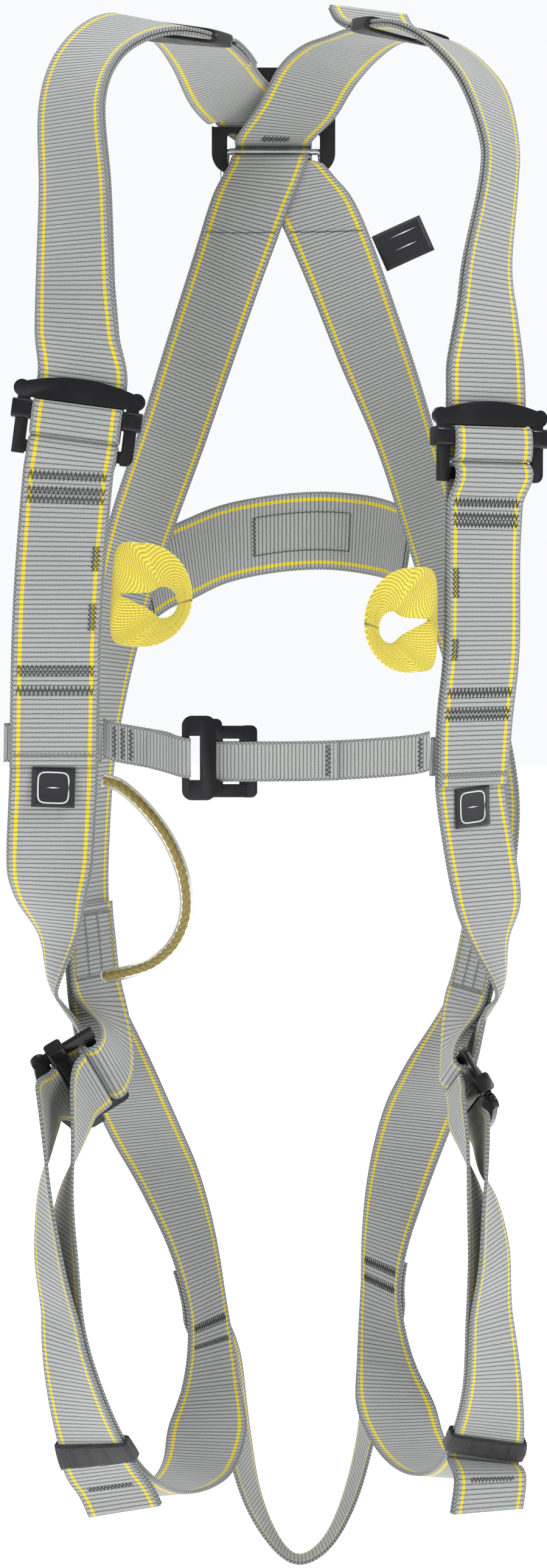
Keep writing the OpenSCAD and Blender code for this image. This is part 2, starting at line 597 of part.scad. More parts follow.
// The catch's middle bar sits inside the fold of the right chest webbing
chest_z = -356;
module chest_catch() color(black_colour) translate(place([-27, -256.3, chest_z])) {
    bar = 2;
    cube([3.6, bar, 30], center = true);
    translate([14.4, 0, 0]) rotate([90, 0, 0]) linear_extrude(bar, center = true) rounded(9, 36, 3);
    // Ends join the two bars and carry the edge that the hook holds
    for (end = [-1, 1]) translate([0, 0, end * 14.6]) {
        translate([4, 0, 0]) cube([19, 4.4, 6.4], center = true);
        translate([-6, 0, end * 1.2]) cube([6, 4.4, 4], center = true);
    }
    translate([-8.2, 0, 0]) cube([3, 4.4, 35.6], center = true);
}
module chest_hook() color(black_colour) translate(place([-37, -261.4, chest_z + 2])) {
    difference() {
        rotate([90, 0, 0]) linear_extrude(3.2, center = true) rounded(17, 42, 5);
        translate([-2, 0, 0]) cube([5.4, 8, chest_web_w + 2], center = true);
    }
    // Lip that passes behind the catch's edge
    for (end = [-1, 1]) translate([7, 0, end * 15]) rotate([90, 0, 0])
        linear_extrude(2.4, center = true) rounded(9, 9, 3);
}

// ---------- keepers ----------
keeper_ease = 4.4;
// An elastic band round two layers of webbing, at station i of the line they share
module keeper_on(line, i, d) color(black_colour)
    band(ride_at(line, i, d), ride_axes(line, i), web_w + 3, web_t + pitch + keeper_ease, keeper_w, keeper_t);
left_shoulder_grip = 31;
right_shoulder_grip = 31;
left_leg_grip = 25;
right_leg_grip = 24;
module left_shoulder_keeper() keeper_on(left_shoulder_line, left_shoulder_grip, pitch / 2);
module right_shoulder_keeper() keeper_on(right_shoulder_line, right_shoulder_grip, pitch / 2);
module left_leg_keeper() keeper_on(left_leg_tail_line, left_leg_grip, -pitch / 2);
module right_leg_keeper() keeper_on(right_leg_tail_line, right_leg_grip, -pitch / 2);

// ---------- textile front loops ----------
loop_t = 5;
loop_h = 52;
loop_reach = 42;
module front_loop(at, a, side) color(yellow_colour) in_axes(at, a) {
    rotate([90, 0, 0]) linear_extrude(loop_t, center = true) difference() {
        union() {
            intersection() {
                translate([side * (loop_reach - loop_h / 2), 0]) circle(r = loop_h / 2);
                translate([side * loop_reach / 2, 0]) square([loop_reach, loop_h], center = true);
            }
            translate([side * (loop_reach - loop_h / 2) / 2, 0])
                square([loop_reach - loop_h / 2, loop_h], center = true);
        }
        translate([side * 27, -3]) circle(r = 7.5);
        polygon([[side * 2, 0], [side * 27, 4.4], [side * 27, -10.4]]);
    }
    cylinder(r = loop_t / 2, h = loop_h, center = true);
}
left_front_loop_at = place([-81.6, -246, -272]);
left_front_loop_axes = axes([0.06, -0.05, 1], [1, -0.2, 0]);
right_front_loop_at = place([81.3, -258, -285]);
right_front_loop_axes = axes([0, -0.08, 1], [0.86, 0.5, 0]);
module left_front_loop() front_loop(left_front_loop_at, left_front_loop_axes, 1);
module right_front_loop() front_loop(right_front_loop_at, right_front_loop_axes, -1);

// ---------- gear loop ----------
gear_loop_run = placed([
    [-86, -233, -367, 0, 0, 0],
    [-77, -236, -370, 0, 0, 0],
    [-64, -237, -382, 0, 0, 0],
    [-53, -233, -398, 0, 0, 0],
    [-46, -229, -417, 0, 0, 0],
    [-45, -224, -436, 0, 0, 0],
    [-51, -217, -452, 0, 0, 0],
    [-62, -210, -463, 0, 0, 0],
    [-76, -203, -469, 0, 0, 0],
    [-89, -197, -472, 0, 0, 0]]);
// Ring of points round a station, kept square to the cord
function ring(s, i, r, n) = let (
    h = heading(s, i), x = unit(cross(h, [0.3, 1, 0.1])), y = cross(h, x))
    [for (k = [0 : n - 1]) pos(s[i]) + r * (x * cos(360 * k / n) + y * sin(360 * k / n))];
module cord(s, r, n = 12) {
    m = len(s);
    points = [for (i = [0 : m - 1]) each ring(s, i, r, n)];
    sides = [for (i = [0 : m - 2]) for (k = [0 : n - 1])
        let (a = n * i + k, b = n * i + (k + 1) % n)
        each [[a, b, a + n], [b, b + n, a + n]]];
    polyhedron(points, concat([[for (k = [n - 1 : -1 : 0]) k]], sides,
                              [[for (k = [0 : n - 1]) n * (m - 1) + k]]));
}
gear_loop_line = smooth(gear_loop_run, 3);
module gear_loop_tube() color(yellow_colour) cord(gear_loop_line, tube_d / 2);

// ---------- labels ----------
label_t = 0.8;
module label(at, a, w, h) color(black_colour) in_axes(at, a) {
    translate([-w / 2, -label_t / 2, -h]) cube([w, label_t, h]);
}
label_off = -pitch + web_t / 2 + 0.4 + label_t / 2;
hem = len(left_front_line) - 1;
function label_place(line) = ride_at(line, hem, label_off) + heading(line, hem) * 1.4;
function label_axes(line) = axes(-heading(line, hem) - 0.1 * facing(line, hem), dir(line[hem]));
tab_label_at = place([61, -29, -76]);
tab_label_axes = axes([-0.9, 0.05, -0.4], [0.3, -0.1, -0.95]);
module left_label() label(label_place(left_front_line), label_axes(left_front_line), 22, 20);
module right_label() label(label_place(right_front_line), label_axes(right_front_line), 22, 20);
module tab_label() label(tab_label_at, tab_label_axes, 22, 30);

// ---------- adjusters in place ----------
module left_shoulder_frame() color(black_colour) in_axes(left_shoulder_at, left_shoulder_axes) adjuster_frame();
module right_shoulder_frame() color(black_colour) in_axes(right_shoulder_at, right_shoulder_axes) adjuster_frame();
module left_leg_frame() color(black_colour) in_axes(left_leg_at, left_leg_axes) adjuster_frame();
module right_leg_frame() color(black_colour) in_axes(right_leg_at, right_leg_axes) adjuster_frame();
module left_shoulder_slide_bar() color(black_colour) in_axes(left_shoulder_at, left_shoulder_axes) slide_bar();
module right_shoulder_slide_bar() color(black_colour) in_axes(right_shoulder_at, right_shoulder_axes) slide_bar();
module left_leg_slide_bar() color(black_colour) in_axes(left_leg_at, left_leg_axes) slide_bar();
module right_leg_slide_bar() color(black_colour) in_axes(right_leg_at, right_leg_axes) slide_bar();

left_shoulder_strap();
right_shoulder_strap();
left_shoulder_tail();
right_shoulder_tail();
left_back_strap();
right_back_strap();
left_front_strap();
right_front_strap();
left_hip_strap();
right_hip_strap();
left_seat_strap();
right_seat_strap();
left_leg_strap();
right_leg_strap();
left_leg_tail();
right_leg_tail();
waist_strap();
waist_patch();
subpelvic_strap();
left_chest_loop();
right_chest_loop();
left_chest_strap();
right_chest_strap();
chest_hook();
chest_catch();
dorsal_plate();
dorsal_d_ring();
left_shoulder_frame();
right_shoulder_frame();
left_shoulder_slide_bar();
right_shoulder_slide_bar();
left_leg_frame();
right_leg_frame();
left_leg_slide_bar();
right_leg_slide_bar();
left_shoulder_keeper();
right_shoulder_keeper();
left_leg_keeper();
right_leg_keeper();
left_front_loop();
right_front_loop();
gear_loop_tube();
left_label();
right_label();
tab_label();
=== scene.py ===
"""Looks of a full-body safety harness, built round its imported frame.

Lengths are in metres in the frame's own axes: +X to the wearer's left, +Y out of the
wearer's back and +Z up, with the origin inside the dorsal D-ring's bow. Names say left
and right as seen from the front.
"""

from __future__ import annotations

import json
import logging
import math
from dataclasses import dataclass
from enum import Enum
from typing import Sequence

import bmesh
import bpy
import numpy as np
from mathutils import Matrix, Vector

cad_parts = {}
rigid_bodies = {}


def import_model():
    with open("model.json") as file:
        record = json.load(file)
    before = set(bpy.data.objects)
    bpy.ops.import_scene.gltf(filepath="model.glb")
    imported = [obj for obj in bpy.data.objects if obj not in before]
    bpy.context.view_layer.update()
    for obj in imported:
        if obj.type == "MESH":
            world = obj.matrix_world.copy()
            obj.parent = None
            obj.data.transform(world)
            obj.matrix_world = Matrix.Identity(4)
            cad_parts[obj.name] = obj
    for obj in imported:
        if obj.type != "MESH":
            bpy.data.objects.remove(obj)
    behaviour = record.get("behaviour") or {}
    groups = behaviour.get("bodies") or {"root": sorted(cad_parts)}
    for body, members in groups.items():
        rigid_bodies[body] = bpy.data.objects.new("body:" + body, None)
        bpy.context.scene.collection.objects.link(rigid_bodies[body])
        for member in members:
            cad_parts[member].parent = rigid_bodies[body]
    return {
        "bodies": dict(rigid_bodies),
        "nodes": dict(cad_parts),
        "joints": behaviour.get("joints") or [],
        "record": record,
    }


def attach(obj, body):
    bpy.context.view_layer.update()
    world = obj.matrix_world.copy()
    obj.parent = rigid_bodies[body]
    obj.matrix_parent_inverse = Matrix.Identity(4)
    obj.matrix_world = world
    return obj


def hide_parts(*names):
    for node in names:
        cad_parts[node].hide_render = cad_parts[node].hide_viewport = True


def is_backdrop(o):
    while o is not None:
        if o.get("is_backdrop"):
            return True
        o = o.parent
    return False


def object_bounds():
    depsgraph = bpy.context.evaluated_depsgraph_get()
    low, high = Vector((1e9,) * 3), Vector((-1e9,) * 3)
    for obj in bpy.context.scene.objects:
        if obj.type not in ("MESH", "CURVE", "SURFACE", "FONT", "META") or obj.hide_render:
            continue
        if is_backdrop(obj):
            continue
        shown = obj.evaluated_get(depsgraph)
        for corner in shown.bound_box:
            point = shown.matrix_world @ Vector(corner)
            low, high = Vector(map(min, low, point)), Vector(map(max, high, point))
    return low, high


Array = np.ndarray
LOG = logging.getLogger("harness")

WEB_W = 0.045
WEB_T = 0.0018
CHEST_W = 0.020
CHEST_T = 0.0016
LAYER_GAP = 0.0005
WEB_CLEAR = 0.0005
PITCH = WEB_T + LAYER_GAP
REACH = WEB_CLEAR + WEB_T / 2
BEND = REACH + 0.0001

FRAME_T = 0.003
FRAME_LEN = 0.040
END_BAR_H = 0.012
END_BAR_LOW = FRAME_LEN - END_BAR_H
SLIDE_BAR_T = 0.004
VIEW = np.array([0.0, -1.0, 0.0])
BAR_MID = 0.004
FOLD_R = math.hypot(FRAME_T / 2, 0.003) + REACH
# The slack loop round the slide bar hangs down to just above the sewn strap's fold
LOOP_LOW = BAR_MID + FOLD_R + WEB_T / 2 + 0.0003 + WEB_T / 2 + BEND

RING_BAR = 0.0056
RING_HALF = WEB_W / 2 + RING_BAR / 2 + 0.0034
RING_SIDE = 0.014
RING_REACH = RING_SIDE + RING_HALF - RING_BAR / 2
LIFT = RING_REACH + 0.013
PLATE_BACK = -0.006
PLATE_FACE = PLATE_BACK - 0.003
INNER_R = RING_BAR / 2 + REACH
OUTER_R = INNER_R + PITCH

# Routes of the webbing: a point on its middle, before the lift to the ring's bow,
# and the direction of its width.
LEFT_SHOULDER_RUN = (
    (-0.0985, -0.2436, -0.142, 0.94, -0.32, -0.1),
    (-0.0995, -0.241, -0.12, 0.89, -0.45, -0.05),
    (-0.1, -0.235, -0.1, 0.86, -0.5, 0),
    (-0.101, -0.222, -0.066, 0.82, -0.57, 0),
    (-0.104, -0.2, -0.023, 0.78, -0.63, 0),
    (-0.098, -0.178, 0.005, 0.8, -0.56, -0.06),
    (-0.083, -0.158, 0.024, 0.84, -0.48, -0.2),
    (-0.065, -0.14, 0.032, 0.9, -0.34, -0.24),
    (-0.046, -0.115, 0.03, 0.97, -0.2, -0.12),
)
LEFT_SHOULDER_FALL = (
    (-0.035, -0.08, 0.022, 0.98, -0.2, 0.02),
    (-0.027, -0.045, 0.014, 0.9, -0.2, 0.3),
    (-0.018, -0.018, 0.009, 0.9, -0.1, 0.35),
    (-0.013, -0.0095, 0.0055, 0.98, 0, 0.05),
    (-0.011, -0.006, 0.0025, 1, 0, 0.03),
    (-0.005, -0.003, -0.0035, 1, 0, 0),
)
LEFT_SHOULDER_END = (
    (-0.041, -0.1, 0.0315, 0.97, -0.16, -0.1),
    (-0.035, -0.086, 0.0285, 0.96, -0.16, -0.1),
    (-0.031, -0.075, 0.025, 0.96, -0.16, -0.1),
)
RIGHT_SHOULDER_RUN = (
    (0.1065, -0.2424, -0.156, 0.86, 0.51, 0.02),
    (0.1075, -0.241, -0.132, 0.69, 0.72, 0),
    (0.108, -0.238, -0.107, 0.56, 0.83, 0),
    (0.115, -0.22, -0.065, 0.45, 0.9, 0),
    (0.116, -0.206, -0.041, 0.48, 0.88, 0),
    (0.109, -0.185, -0.01, 0.62, 0.77, -0.1),
    (0.096, -0.165, 0.011, 0.74, 0.62, -0.2),
    (0.081, -0.148, 0.024, 0.84, 0.46, -0.2),
    (0.065, -0.124, 0.031, 0.93, 0.3, -0.1),
)
RIGHT_SHOULDER_FALL = (
    (0.05, -0.1, 0.031, 0.96, 0.24, 0),
    (0.037, -0.08, 0.028, 0.96, 0.2, -0.1),
    (0.025, -0.052, 0.021, 0.94, 0.14, -0.2),
    (0.014, -0.03, 0.006, 0.98, 0.06, -0.16),
    (0.003, -0.016, -0.005, 1.05, 0, -0.06),
)
RIGHT_SHOULDER_END = (
    (0.06, -0.112, 0.035, 0.95, 0.26, -0.06),
    (0.055, -0.104, 0.04, 0.95, 0.26, -0.06),
    (0.052, -0.098, 0.047, 0.95, 0.26, -0.06),
)
LEFT_REAR_RUN = (
    (-0.004, -0.014, -0.024, 1.05, 0.05, 0),
    (-0.008, -0.016, -0.033, 1.05, 0.1, -0.1),
    (-0.014, -0.0185, -0.047, 1, 0.2, -0.2),
    (-0.025, -0.022, -0.079, 0.87, 0.39, -0.31),
    (-0.042, -0.038, -0.132, 0.82, 0.5, -0.3),
    (-0.057, -0.058, -0.181, 0.77, 0.58, -0.27),
    (-0.074, -0.092, -0.235, 0.72, 0.66, -0.24),
    (-0.083, -0.115, -0.273, 0.64, 0.75, -0.15),
    (-0.091, -0.135, -0.313, 0.56, 0.82, -0.08),
    (-0.098, -0.15, -0.362, 0.5, 0.87, 0),
    (-0.101, -0.16, -0.41, 0.5, 0.86, 0),
    (-0.101, -0.164, -0.438, 0.5, 0.86, 0),
    (-0.099, -0.165, -0.46, 0.5, 0.86, 0),
    (-0.0975, -0.163, -0.478, 0.52, 0.85, 0),
    (-0.095, -0.155, -0.496, 0.58, 0.81, 0),
    (-0.083, -0.12, -0.542, 0.86, 0.51, 0),
    (-0.072, -0.095, -0.575, 0.88, 0.47, 0),
    (-0.059, -0.078, -0.607, 0.76, 0.65, 0),
    (-0.046, -0.066, -0.647, 0.56, 0.83, 0),
    (-0.038, -0.066, -0.687, 0.48, 0.88, 0),
    (-0.036, -0.082, -0.726, 0.74, 0.66, -0.12),
    (-0.04, -0.118, -0.753, 0.95, -0.3, 0.05),
    (-0.05, -0.15, -0.759, 0.9, -0.38, 0.15),
    (-0.068, -0.18, -0.755, 0.88, -0.4, 0.22),
    (-0.084, -0.212, -0.736, 0.88, -0.38, 0.28),
    (-0.094, -0.232, -0.707, 0.78, -0.6, 0.2),
    (-0.102, -0.246, -0.671, 0.64, -0.76, 0.12),
    (-0.106, -0.251, -0.64, 0.5, -0.86, 0.05),
    (-0.107, -0.249, -0.607, 0.4, -0.91, 0),
    (-0.106, -0.239, -0.58, 0.22, -0.97, 0.1),
    (-0.102, -0.224, -0.557, 0, -0.95, 0.3),
    (-0.0995, -0.207, -0.538, -0.2, -0.8, 0.5),
)
RIGHT_REAR_RUN = (
    (0.007, -0.0112, -0.024, 1.02, 0, 0.1),
    (0.014, -0.0116, -0.033, 1.02, 0, 0.15),
    (0.025, -0.014, -0.049, 0.98, -0.1, 0.25),
    (0.038, -0.024, -0.08, 0.9, -0.3, 0.3),
    (0.056, -0.045, -0.131, 0.84, -0.5, 0.3),
    (0.073, -0.072, -0.181, 0.68, -0.7, 0.26),
    (0.086, -0.105, -0.23, 0.62, -0.76, 0.2),
    (0.098, -0.135, -0.28, 0.56, -0.82, 0.1),
    (0.11, -0.152, -0.329, 0.5, -0.87, 0),
    (0.118, -0.162, -0.377, 0.5, -0.87, 0),
    (0.116, -0.168, -0.416, 0.5, -0.87, 0),
    (0.114, -0.169, -0.446, 0.4, -0.91, 0),
    (0.11, -0.167, -0.468, 0.38, -0.92, 0),
    (0.106, -0.162, -0.486, 0.4, -0.91, 0),
    (0.101, -0.15, -0.504, 0.52, -0.85, 0),
    (0.09, -0.122, -0.538, 0.84, -0.54, 0),
    (0.082, -0.1, -0.563, 0.88, -0.47, 0),
    (0.072, -0.08, -0.602, 0.76, -0.65, 0),
    (0.064, -0.066, -0.644, 0.54, -0.84, 0),
    (0.062, -0.066, -0.676, 0.48, -0.88, 0),
    (0.065, -0.08, -0.713, 0.74, -0.66, 0.12),
    (0.074, -0.114, -0.742, 0.95, 0.3, -0.05),
    (0.088, -0.15, -0.751, 0.9, 0.38, -0.15),
    (0.103, -0.185, -0.742, 0.88, 0.4, -0.22),
    (0.111, -0.215, -0.715, 0.86, 0.44, -0.26),
    (0.112, -0.236, -0.68, 0.7, 0.68, -0.2),
    (0.109, -0.246, -0.64, 0.54, 0.84, -0.08),
    (0.107, -0.245, -0.608, 0.4, 0.91, 0),
    (0.103, -0.238, -0.58, 0.22, 0.97, -0.1),
    (0.099, -0.22, -0.558, 0, 0.95, -0.3),
    (0.096, -0.204, -0.544, -0.1, 0.86, -0.5),
)
LEFT_FRONT_RUN = (
    (-0.102, -0.2525, -0.212, 1, 0, -0.05),
    (-0.104, -0.251, -0.231, 1, 0, -0.03),
    (-0.107, -0.249, -0.265, 1, 0, 0),
    (-0.109, -0.247, -0.301, 1, 0, 0),
    (-0.111, -0.24, -0.359, 1, 0, 0),
)
LEFT_HIP_RUN = (
    (-0.114, -0.229, -0.404, 1, -0.05, 0),
    (-0.115, -0.222, -0.427, 0.86, -0.48, 0),
    (-0.112, -0.208, -0.45, 0.5, -0.85, 0.05),
    (-0.115, -0.198, -0.478, 0.15, -0.98, 0.1),
    (-0.108, -0.187, -0.494, -0.1, -0.88, 0.4),
)
RIGHT_FRONT_RUN = (
    (0.1055, -0.251, -0.228, 0.87, 0.49, 0),
    (0.105, -0.249, -0.254, 0.85, 0.52, 0),
    (0.105, -0.246, -0.301, 0.86, 0.51, 0),
    (0.102, -0.243, -0.336, 0.86, 0.51, 0),
    (0.101, -0.238, -0.369, 0.82, 0.57, 0),
)
RIGHT_HIP_RUN = (
    (0.105, -0.23, -0.402, 0.84, 0.54, 0),
    (0.11, -0.223, -0.43, 0.8, 0.6, 0),
    (0.112, -0.211, -0.452, 0.5, 0.85, -0.05),
    (0.118, -0.2, -0.479, 0.15, 0.98, -0.1),
    (0.11, -0.188, -0.496, -0.05, 0.9, -0.4),
)
LEFT_LEG_TAIL_RUN = (
    (-0.117, -0.212, -0.537, -0.2, -0.78, 0.55),
    (-0.116, -0.232, -0.555, 0, -0.95, 0.3),
    (-0.116, -0.247, -0.578, 0.22, -0.97, 0.1),
    (-0.113, -0.255, -0.611, 0.41, -0.91, 0),
)
RIGHT_LEG_TAIL_RUN = (
    (0.108, -0.214, -0.552, -0.1, 0.86, -0.5),
    (0.108, -0.232, -0.566, 0, 0.95, -0.3),
    (0.11, -0.246, -0.582, 0.22, 0.97, -0.1),
    (0.112, -0.251, -0.608, 0.4, 0.91, 0),
)
LEFT_LEG_END = (
    (-0.082, -0.221, -0.738, 0.86, -0.44, 0.26),
    (-0.077, -0.22, -0.749, 0.86, -0.42, 0.28),
)
RIGHT_LEG_END = (
    (0.112, -0.227, -0.73, 0.85, 0.5, -0.14),
    (0.11, -0.23, -0.746, 0.86, 0.5, -0.1),
)
WAIST_RUN = (
    (-0.072, -0.091, -0.266, -0.2, 0.3, 0.93),
    (-0.061, -0.078, -0.258, -0.18, 0.25, 0.95),
    (-0.05, -0.068, -0.253, -0.15, 0.1, 0.98),
    (-0.028, -0.05, -0.243, -0.05, 0, 1),
    (0, -0.038, -0.237, 0, 0, 1),
    (0.027, -0.036, -0.235, 0, 0, 1),
    (0.049, -0.046, -0.237, 0.05, 0, 1),
    (0.065, -0.062, -0.241, 0.1, 0.2, 0.98),
    (0.076, -0.082, -0.247, 0.15, 0.3, 0.94),
)
SUBPELVIC_RUN = (
    (-0.028, -0.05, -0.722, 0.36, 0.92, 0.1),
    (-0.021, -0.048, -0.762, 0.26, 0.95, 0.08),
    (-0.012, -0.054, -0.799, 0.16, 0.96, -0.1),
    (0.002, -0.061, -0.824, 0.06, 0.97, -0.2),
    (0.016, -0.064, -0.832, 0, 0.97, -0.24),
    (0.032, -0.061, -0.822, -0.04, 0.97, -0.2),
    (0.045, -0.055, -0.797, -0.08, 0.97, -0.1),
    (0.054, -0.05, -0.762, -0.12, 0.97, 0.05),
    (0.058, -0.05, -0.72, -0.3, 0.93, 0.1),
)
LEFT_STRAP_RUN = (
    (-0.0856, -0.2374, -0.345, 0, 0, 1),
    (-0.08, -0.241, -0.347, 0, 0, 1),
    (-0.067, -0.2485, -0.349, 0, 0, 1),
    (-0.054, -0.2554, -0.351, 0, 0, 1),
    (-0.048, -0.258, -0.353, 0, 0, 1),
    (-0.0424, -0.2583, -0.354, 0, 0, 1),
    (-0.0407, -0.2593, -0.354, 0, 0, 1),
    (-0.0403, -0.2614, -0.354, 0, 0, 1),
    (-0.0407, -0.2635, -0.354, 0, 0, 1),
    (-0.0424, -0.2645, -0.354, 0, 0, 1),
    (-0.047, -0.2636, -0.3532, 0, 0, 1),
    (-0.054, -0.2586, -0.3514, 0, 0, 1),
    (-0.062, -0.2542, -0.3496, 0, 0, 1),
)
RIGHT_STRAP_RUN = (
    (0.0778, -0.252, -0.351, 0, 0, 1),
    (0.071, -0.2544, -0.3525, 0, 0, 1),
    (0.055, -0.2556, -0.354, 0, 0, 1),
    (0.03, -0.2552, -0.3555, 0, 0, 1),
    (0.005, -0.2544, -0.356, 0, 0, 1),
    (-0.016, -0.2538, -0.356, 0, 0, 1),
    (-0.027, -0.2538, -0.356, 0, 0, 1),
)
RIGHT_FOLD_RUN = (
    (-0.027, -0.2585, -0.356, 0, 0, 1),
    (-0.016, -0.2585, -0.356, 0, 0, 1),
    (-0.004, -0.2579, -0.356, 0, 0, 1),
    (0.018, -0.2573, -0.3558, 0, 0, 1),
    (0.032, -0.2577, -0.3554, 0, 0, 1),
)
GEAR_LOOP_RUN = (
    (-0.086, -0.233, -0.367, 0, 0, 0),
    (-0.077, -0.236, -0.37, 0, 0, 0),
    (-0.064, -0.237, -0.382, 0, 0, 0),
    (-0.053, -0.233, -0.398, 0, 0, 0),
    (-0.046, -0.229, -0.417, 0, 0, 0),
    (-0.045, -0.224, -0.436, 0, 0, 0),
    (-0.051, -0.217, -0.452, 0, 0, 0),
    (-0.062, -0.21, -0.463, 0, 0, 0),
    (-0.076, -0.203, -0.469, 0, 0, 0),
    (-0.089, -0.197, -0.472, 0, 0, 0),
)


# ---------------------------------------------------------------- vectors and runs


def unit(v: Array) -> Array:
    """Return v scaled to length one along its last axis."""
    return v / np.linalg.norm(v, axis=-1, keepdims=True)


def axes(z: Sequence[float], x: Sequence[float]) -> Array:
    """Return right-handed axes as rows, from a length and a width direction.

    Args:
        z: The direction along the piece.
        x: A direction across it, which is squared up to z.

    Returns:
        A 3 by 3 array of the across, through and along directions.
    """
    ez = unit(np.array(z, float))
    ex = np.array(x, float)
    ex = unit(ex - ex.dot(ez) * ez)
    return np.array([ex, np.cross(ez, ex), ez])


class Run:
    """A length of webbing's middle line, as rows of a point and a width direction."""

    def __init__(self, stations: Array | Sequence[Sequence[float]]) -> None:
        """Keep the stations as one array."""
        self.rows = np.array(stations, float)

    def __len__(self) -> int:
        """Return the number of stations."""
        return len(self.rows)

    @property
    def points(self) -> Array:
        """Return the middle points."""
        return self.rows[:, :3]

    @property
    def widths(self) -> Array:
        """Return the unit width directions."""
        return unit(self.rows[:, 3:])

    @property
    def headings(self) -> Array:
        """Return unit directions from each station's neighbour before to the one after."""
        p = self.points
        i = np.arange(len(p))
        return unit(p[np.minimum(i + 1, len(p) - 1)] - p[np.maximum(i - 1, 0)])

    @property
    def facings(self) -> Array:
        """Return unit normals: heading crossed with width."""
        return unit(np.cross(self.headings, self.rows[:, 3:]))

    def smooth(self, steps: int) -> Run:
        """Return a Catmull-Rom curve through the stations, each gap in equal steps."""
        s, n = self.rows, len(self)
        i = np.arange(n - 1)
        a, b = s[np.maximum(i - 1, 0)], s[i]
        c, d = s[i + 1], s[np.minimum(i + 2, n - 1)]
        t = (np.arange(steps) / steps)[None, :, None]
        a, b, c, d = (v[:, None, :] for v in (a, b, c, d))
        rows = 0.5 * (2 * b + (c - a) * t + (2 * a - 5 * b + 4 * c - d) * t**2
                      + (3 * b - a - 3 * c + d) * t**3)
        return Run(np.vstack([rows.reshape(-1, 6), s[-1:]]))

    def layer(self, d: float) -> Run:
        """Return the run moved square to its face by d."""
        return Run(np.hstack([self.points + self.facings * d, self.rows[:, 3:]]))

    def part(self, first: int, last: int) -> Run:
        """Return the stations from first to last, both kept."""
        return Run(self.rows[first:last + 1])

    def back(self) -> Run:
        """Return the run in the other direction."""
        return Run(self.rows[::-1])

    def turned_over(self) -> Run:
        """Return the run in the other direction with the same face outwards."""
        rows = self.rows[::-1].copy()
        rows[:, 3:] *= -1
        return Run(rows)

    def then(self, *others: Run) -> Run:
        """Return this run followed by others."""
        return Run(np.vstack([self.rows, *(o.rows for o in others)]))

    def carried_on(self, more: Run, steps: int = 4) -> Run:
        """Return this smooth run carried on through more stations."""
        n = len(self) - 1
        tail = Run(np.vstack([self.rows[[n - steps, n]], more.rows])).smooth(steps)
        return self.then(Run(tail.rows[steps + 1:]))


def placed(stations: Sequence[Sequence[float]]) -> Run:
    """Return a route lifted so that the ring's bow is at the origin."""
    run = Run(stations)
    run.rows[:, 2] += LIFT
    return run


def at(x: float, y: float, z: float) -> Array:
    """Return a point of the layout, lifted so that the ring's bow is at the origin."""
    return np.array([x, y, z + LIFT])


# ---------------------------------------------------------------- meshes


class Seams(Enum):
    """How a grid of points closes on itself."""

    OPEN = "open"
    TUBE = "tube"
    TORUS = "torus"


def grid_faces(rows: int, cols: int, seams: Seams) -> Array:
    """Return quads between neighbouring rows and columns of a grid.

    Args:
        rows: Points along the grid's first direction.
        cols: Points along its second direction.
        seams: TUBE joins the last column to the first, and TORUS the last row too.

    Returns:
        An array of four point numbers a face.
    """
    wrap_c = seams is not Seams.OPEN
    wrap_r = seams is Seams.TORUS
    i = np.arange(rows if wrap_r else rows - 1)[:, None]
    j = np.arange(cols if wrap_c else cols - 1)[None, :]
    i2, j2 = (i + 1) % rows, (j + 1) % cols
    quads = [i * cols + j, i * cols + j2, i2 * cols + j2, i2 * cols + j]
    return np.stack([np.broadcast_to(q, (i.shape[0], j.shape[1])) for q in quads], -1).reshape(-1, 4)


class Shape:
    """Points, quads and texture places that become one mesh."""

    def __init__(self) -> None:
        """Start with nothing in it."""
        self.points: list[Array] = []
        self.faces: list[Array] = []
        self.places: list[Array] = []
        self.count = 0

    def add(self, points: Array, faces: Array, places: Array | None = None) -> None:
        """Add points (n, 3), quads (m, 4) and, for each quad corner, u and v (m, 4, 2)."""
        self.points.append(points.reshape(-1, 3))
        self.faces.append(faces + self.count)
        if places is None:
            places = np.zeros((len(faces), 4, 2))
        self.places.append(places)
        self.count += len(self.points[-1])

    def object(self, name: str, material: bpy.types.Material, smooth: bool = True) -> bpy.types.Object:
        """Return a new object at the origin holding the mesh.

        Args:
            name: The piece's name.
            material: Its finish.
            smooth: Whether its faces are shaded as one curved surface.

        Returns:
            The linked object.
        """
        points, faces = np.vstack(self.points), np.vstack(self.faces)
        places = np.concatenate(self.places).reshape(-1, 2)
        mesh = bpy.data.meshes.new(name)
        mesh.vertices.add(len(points))
        mesh.vertices.foreach_set("co", points.astype(np.float32).ravel())
        mesh.loops.add(faces.size)
        mesh.loops.foreach_set("vertex_index", faces.astype(np.int32).ravel())
        mesh.polygons.add(len(faces))
        mesh.polygons.foreach_set("loop_start", np.arange(0, faces.size, 4, dtype=np.int32))
        mesh.polygons.foreach_set("loop_total", np.full(len(faces), 4, np.int32))
        mesh.polygons.foreach_set("use_smooth", np.full(len(faces), smooth))
        layer = mesh.uv_layers.new(name="UVMap")
        layer.data.foreach_set("uv", places.astype(np.float32).ravel())
        mesh.update(calc_edges=True)
        mesh.validate()
        mesh.materials.append(material)
        obj = bpy.data.objects.new(name, mesh)
        bpy.context.scene.collection.objects.link(obj)
        return obj


def corner_places(u: Array, v: Array, faces: Array) -> Array:
    """Return each quad corner's texture place from a u and a v value for each point."""
    return np.stack([u.ravel()[faces], v.ravel()[faces]], -1)


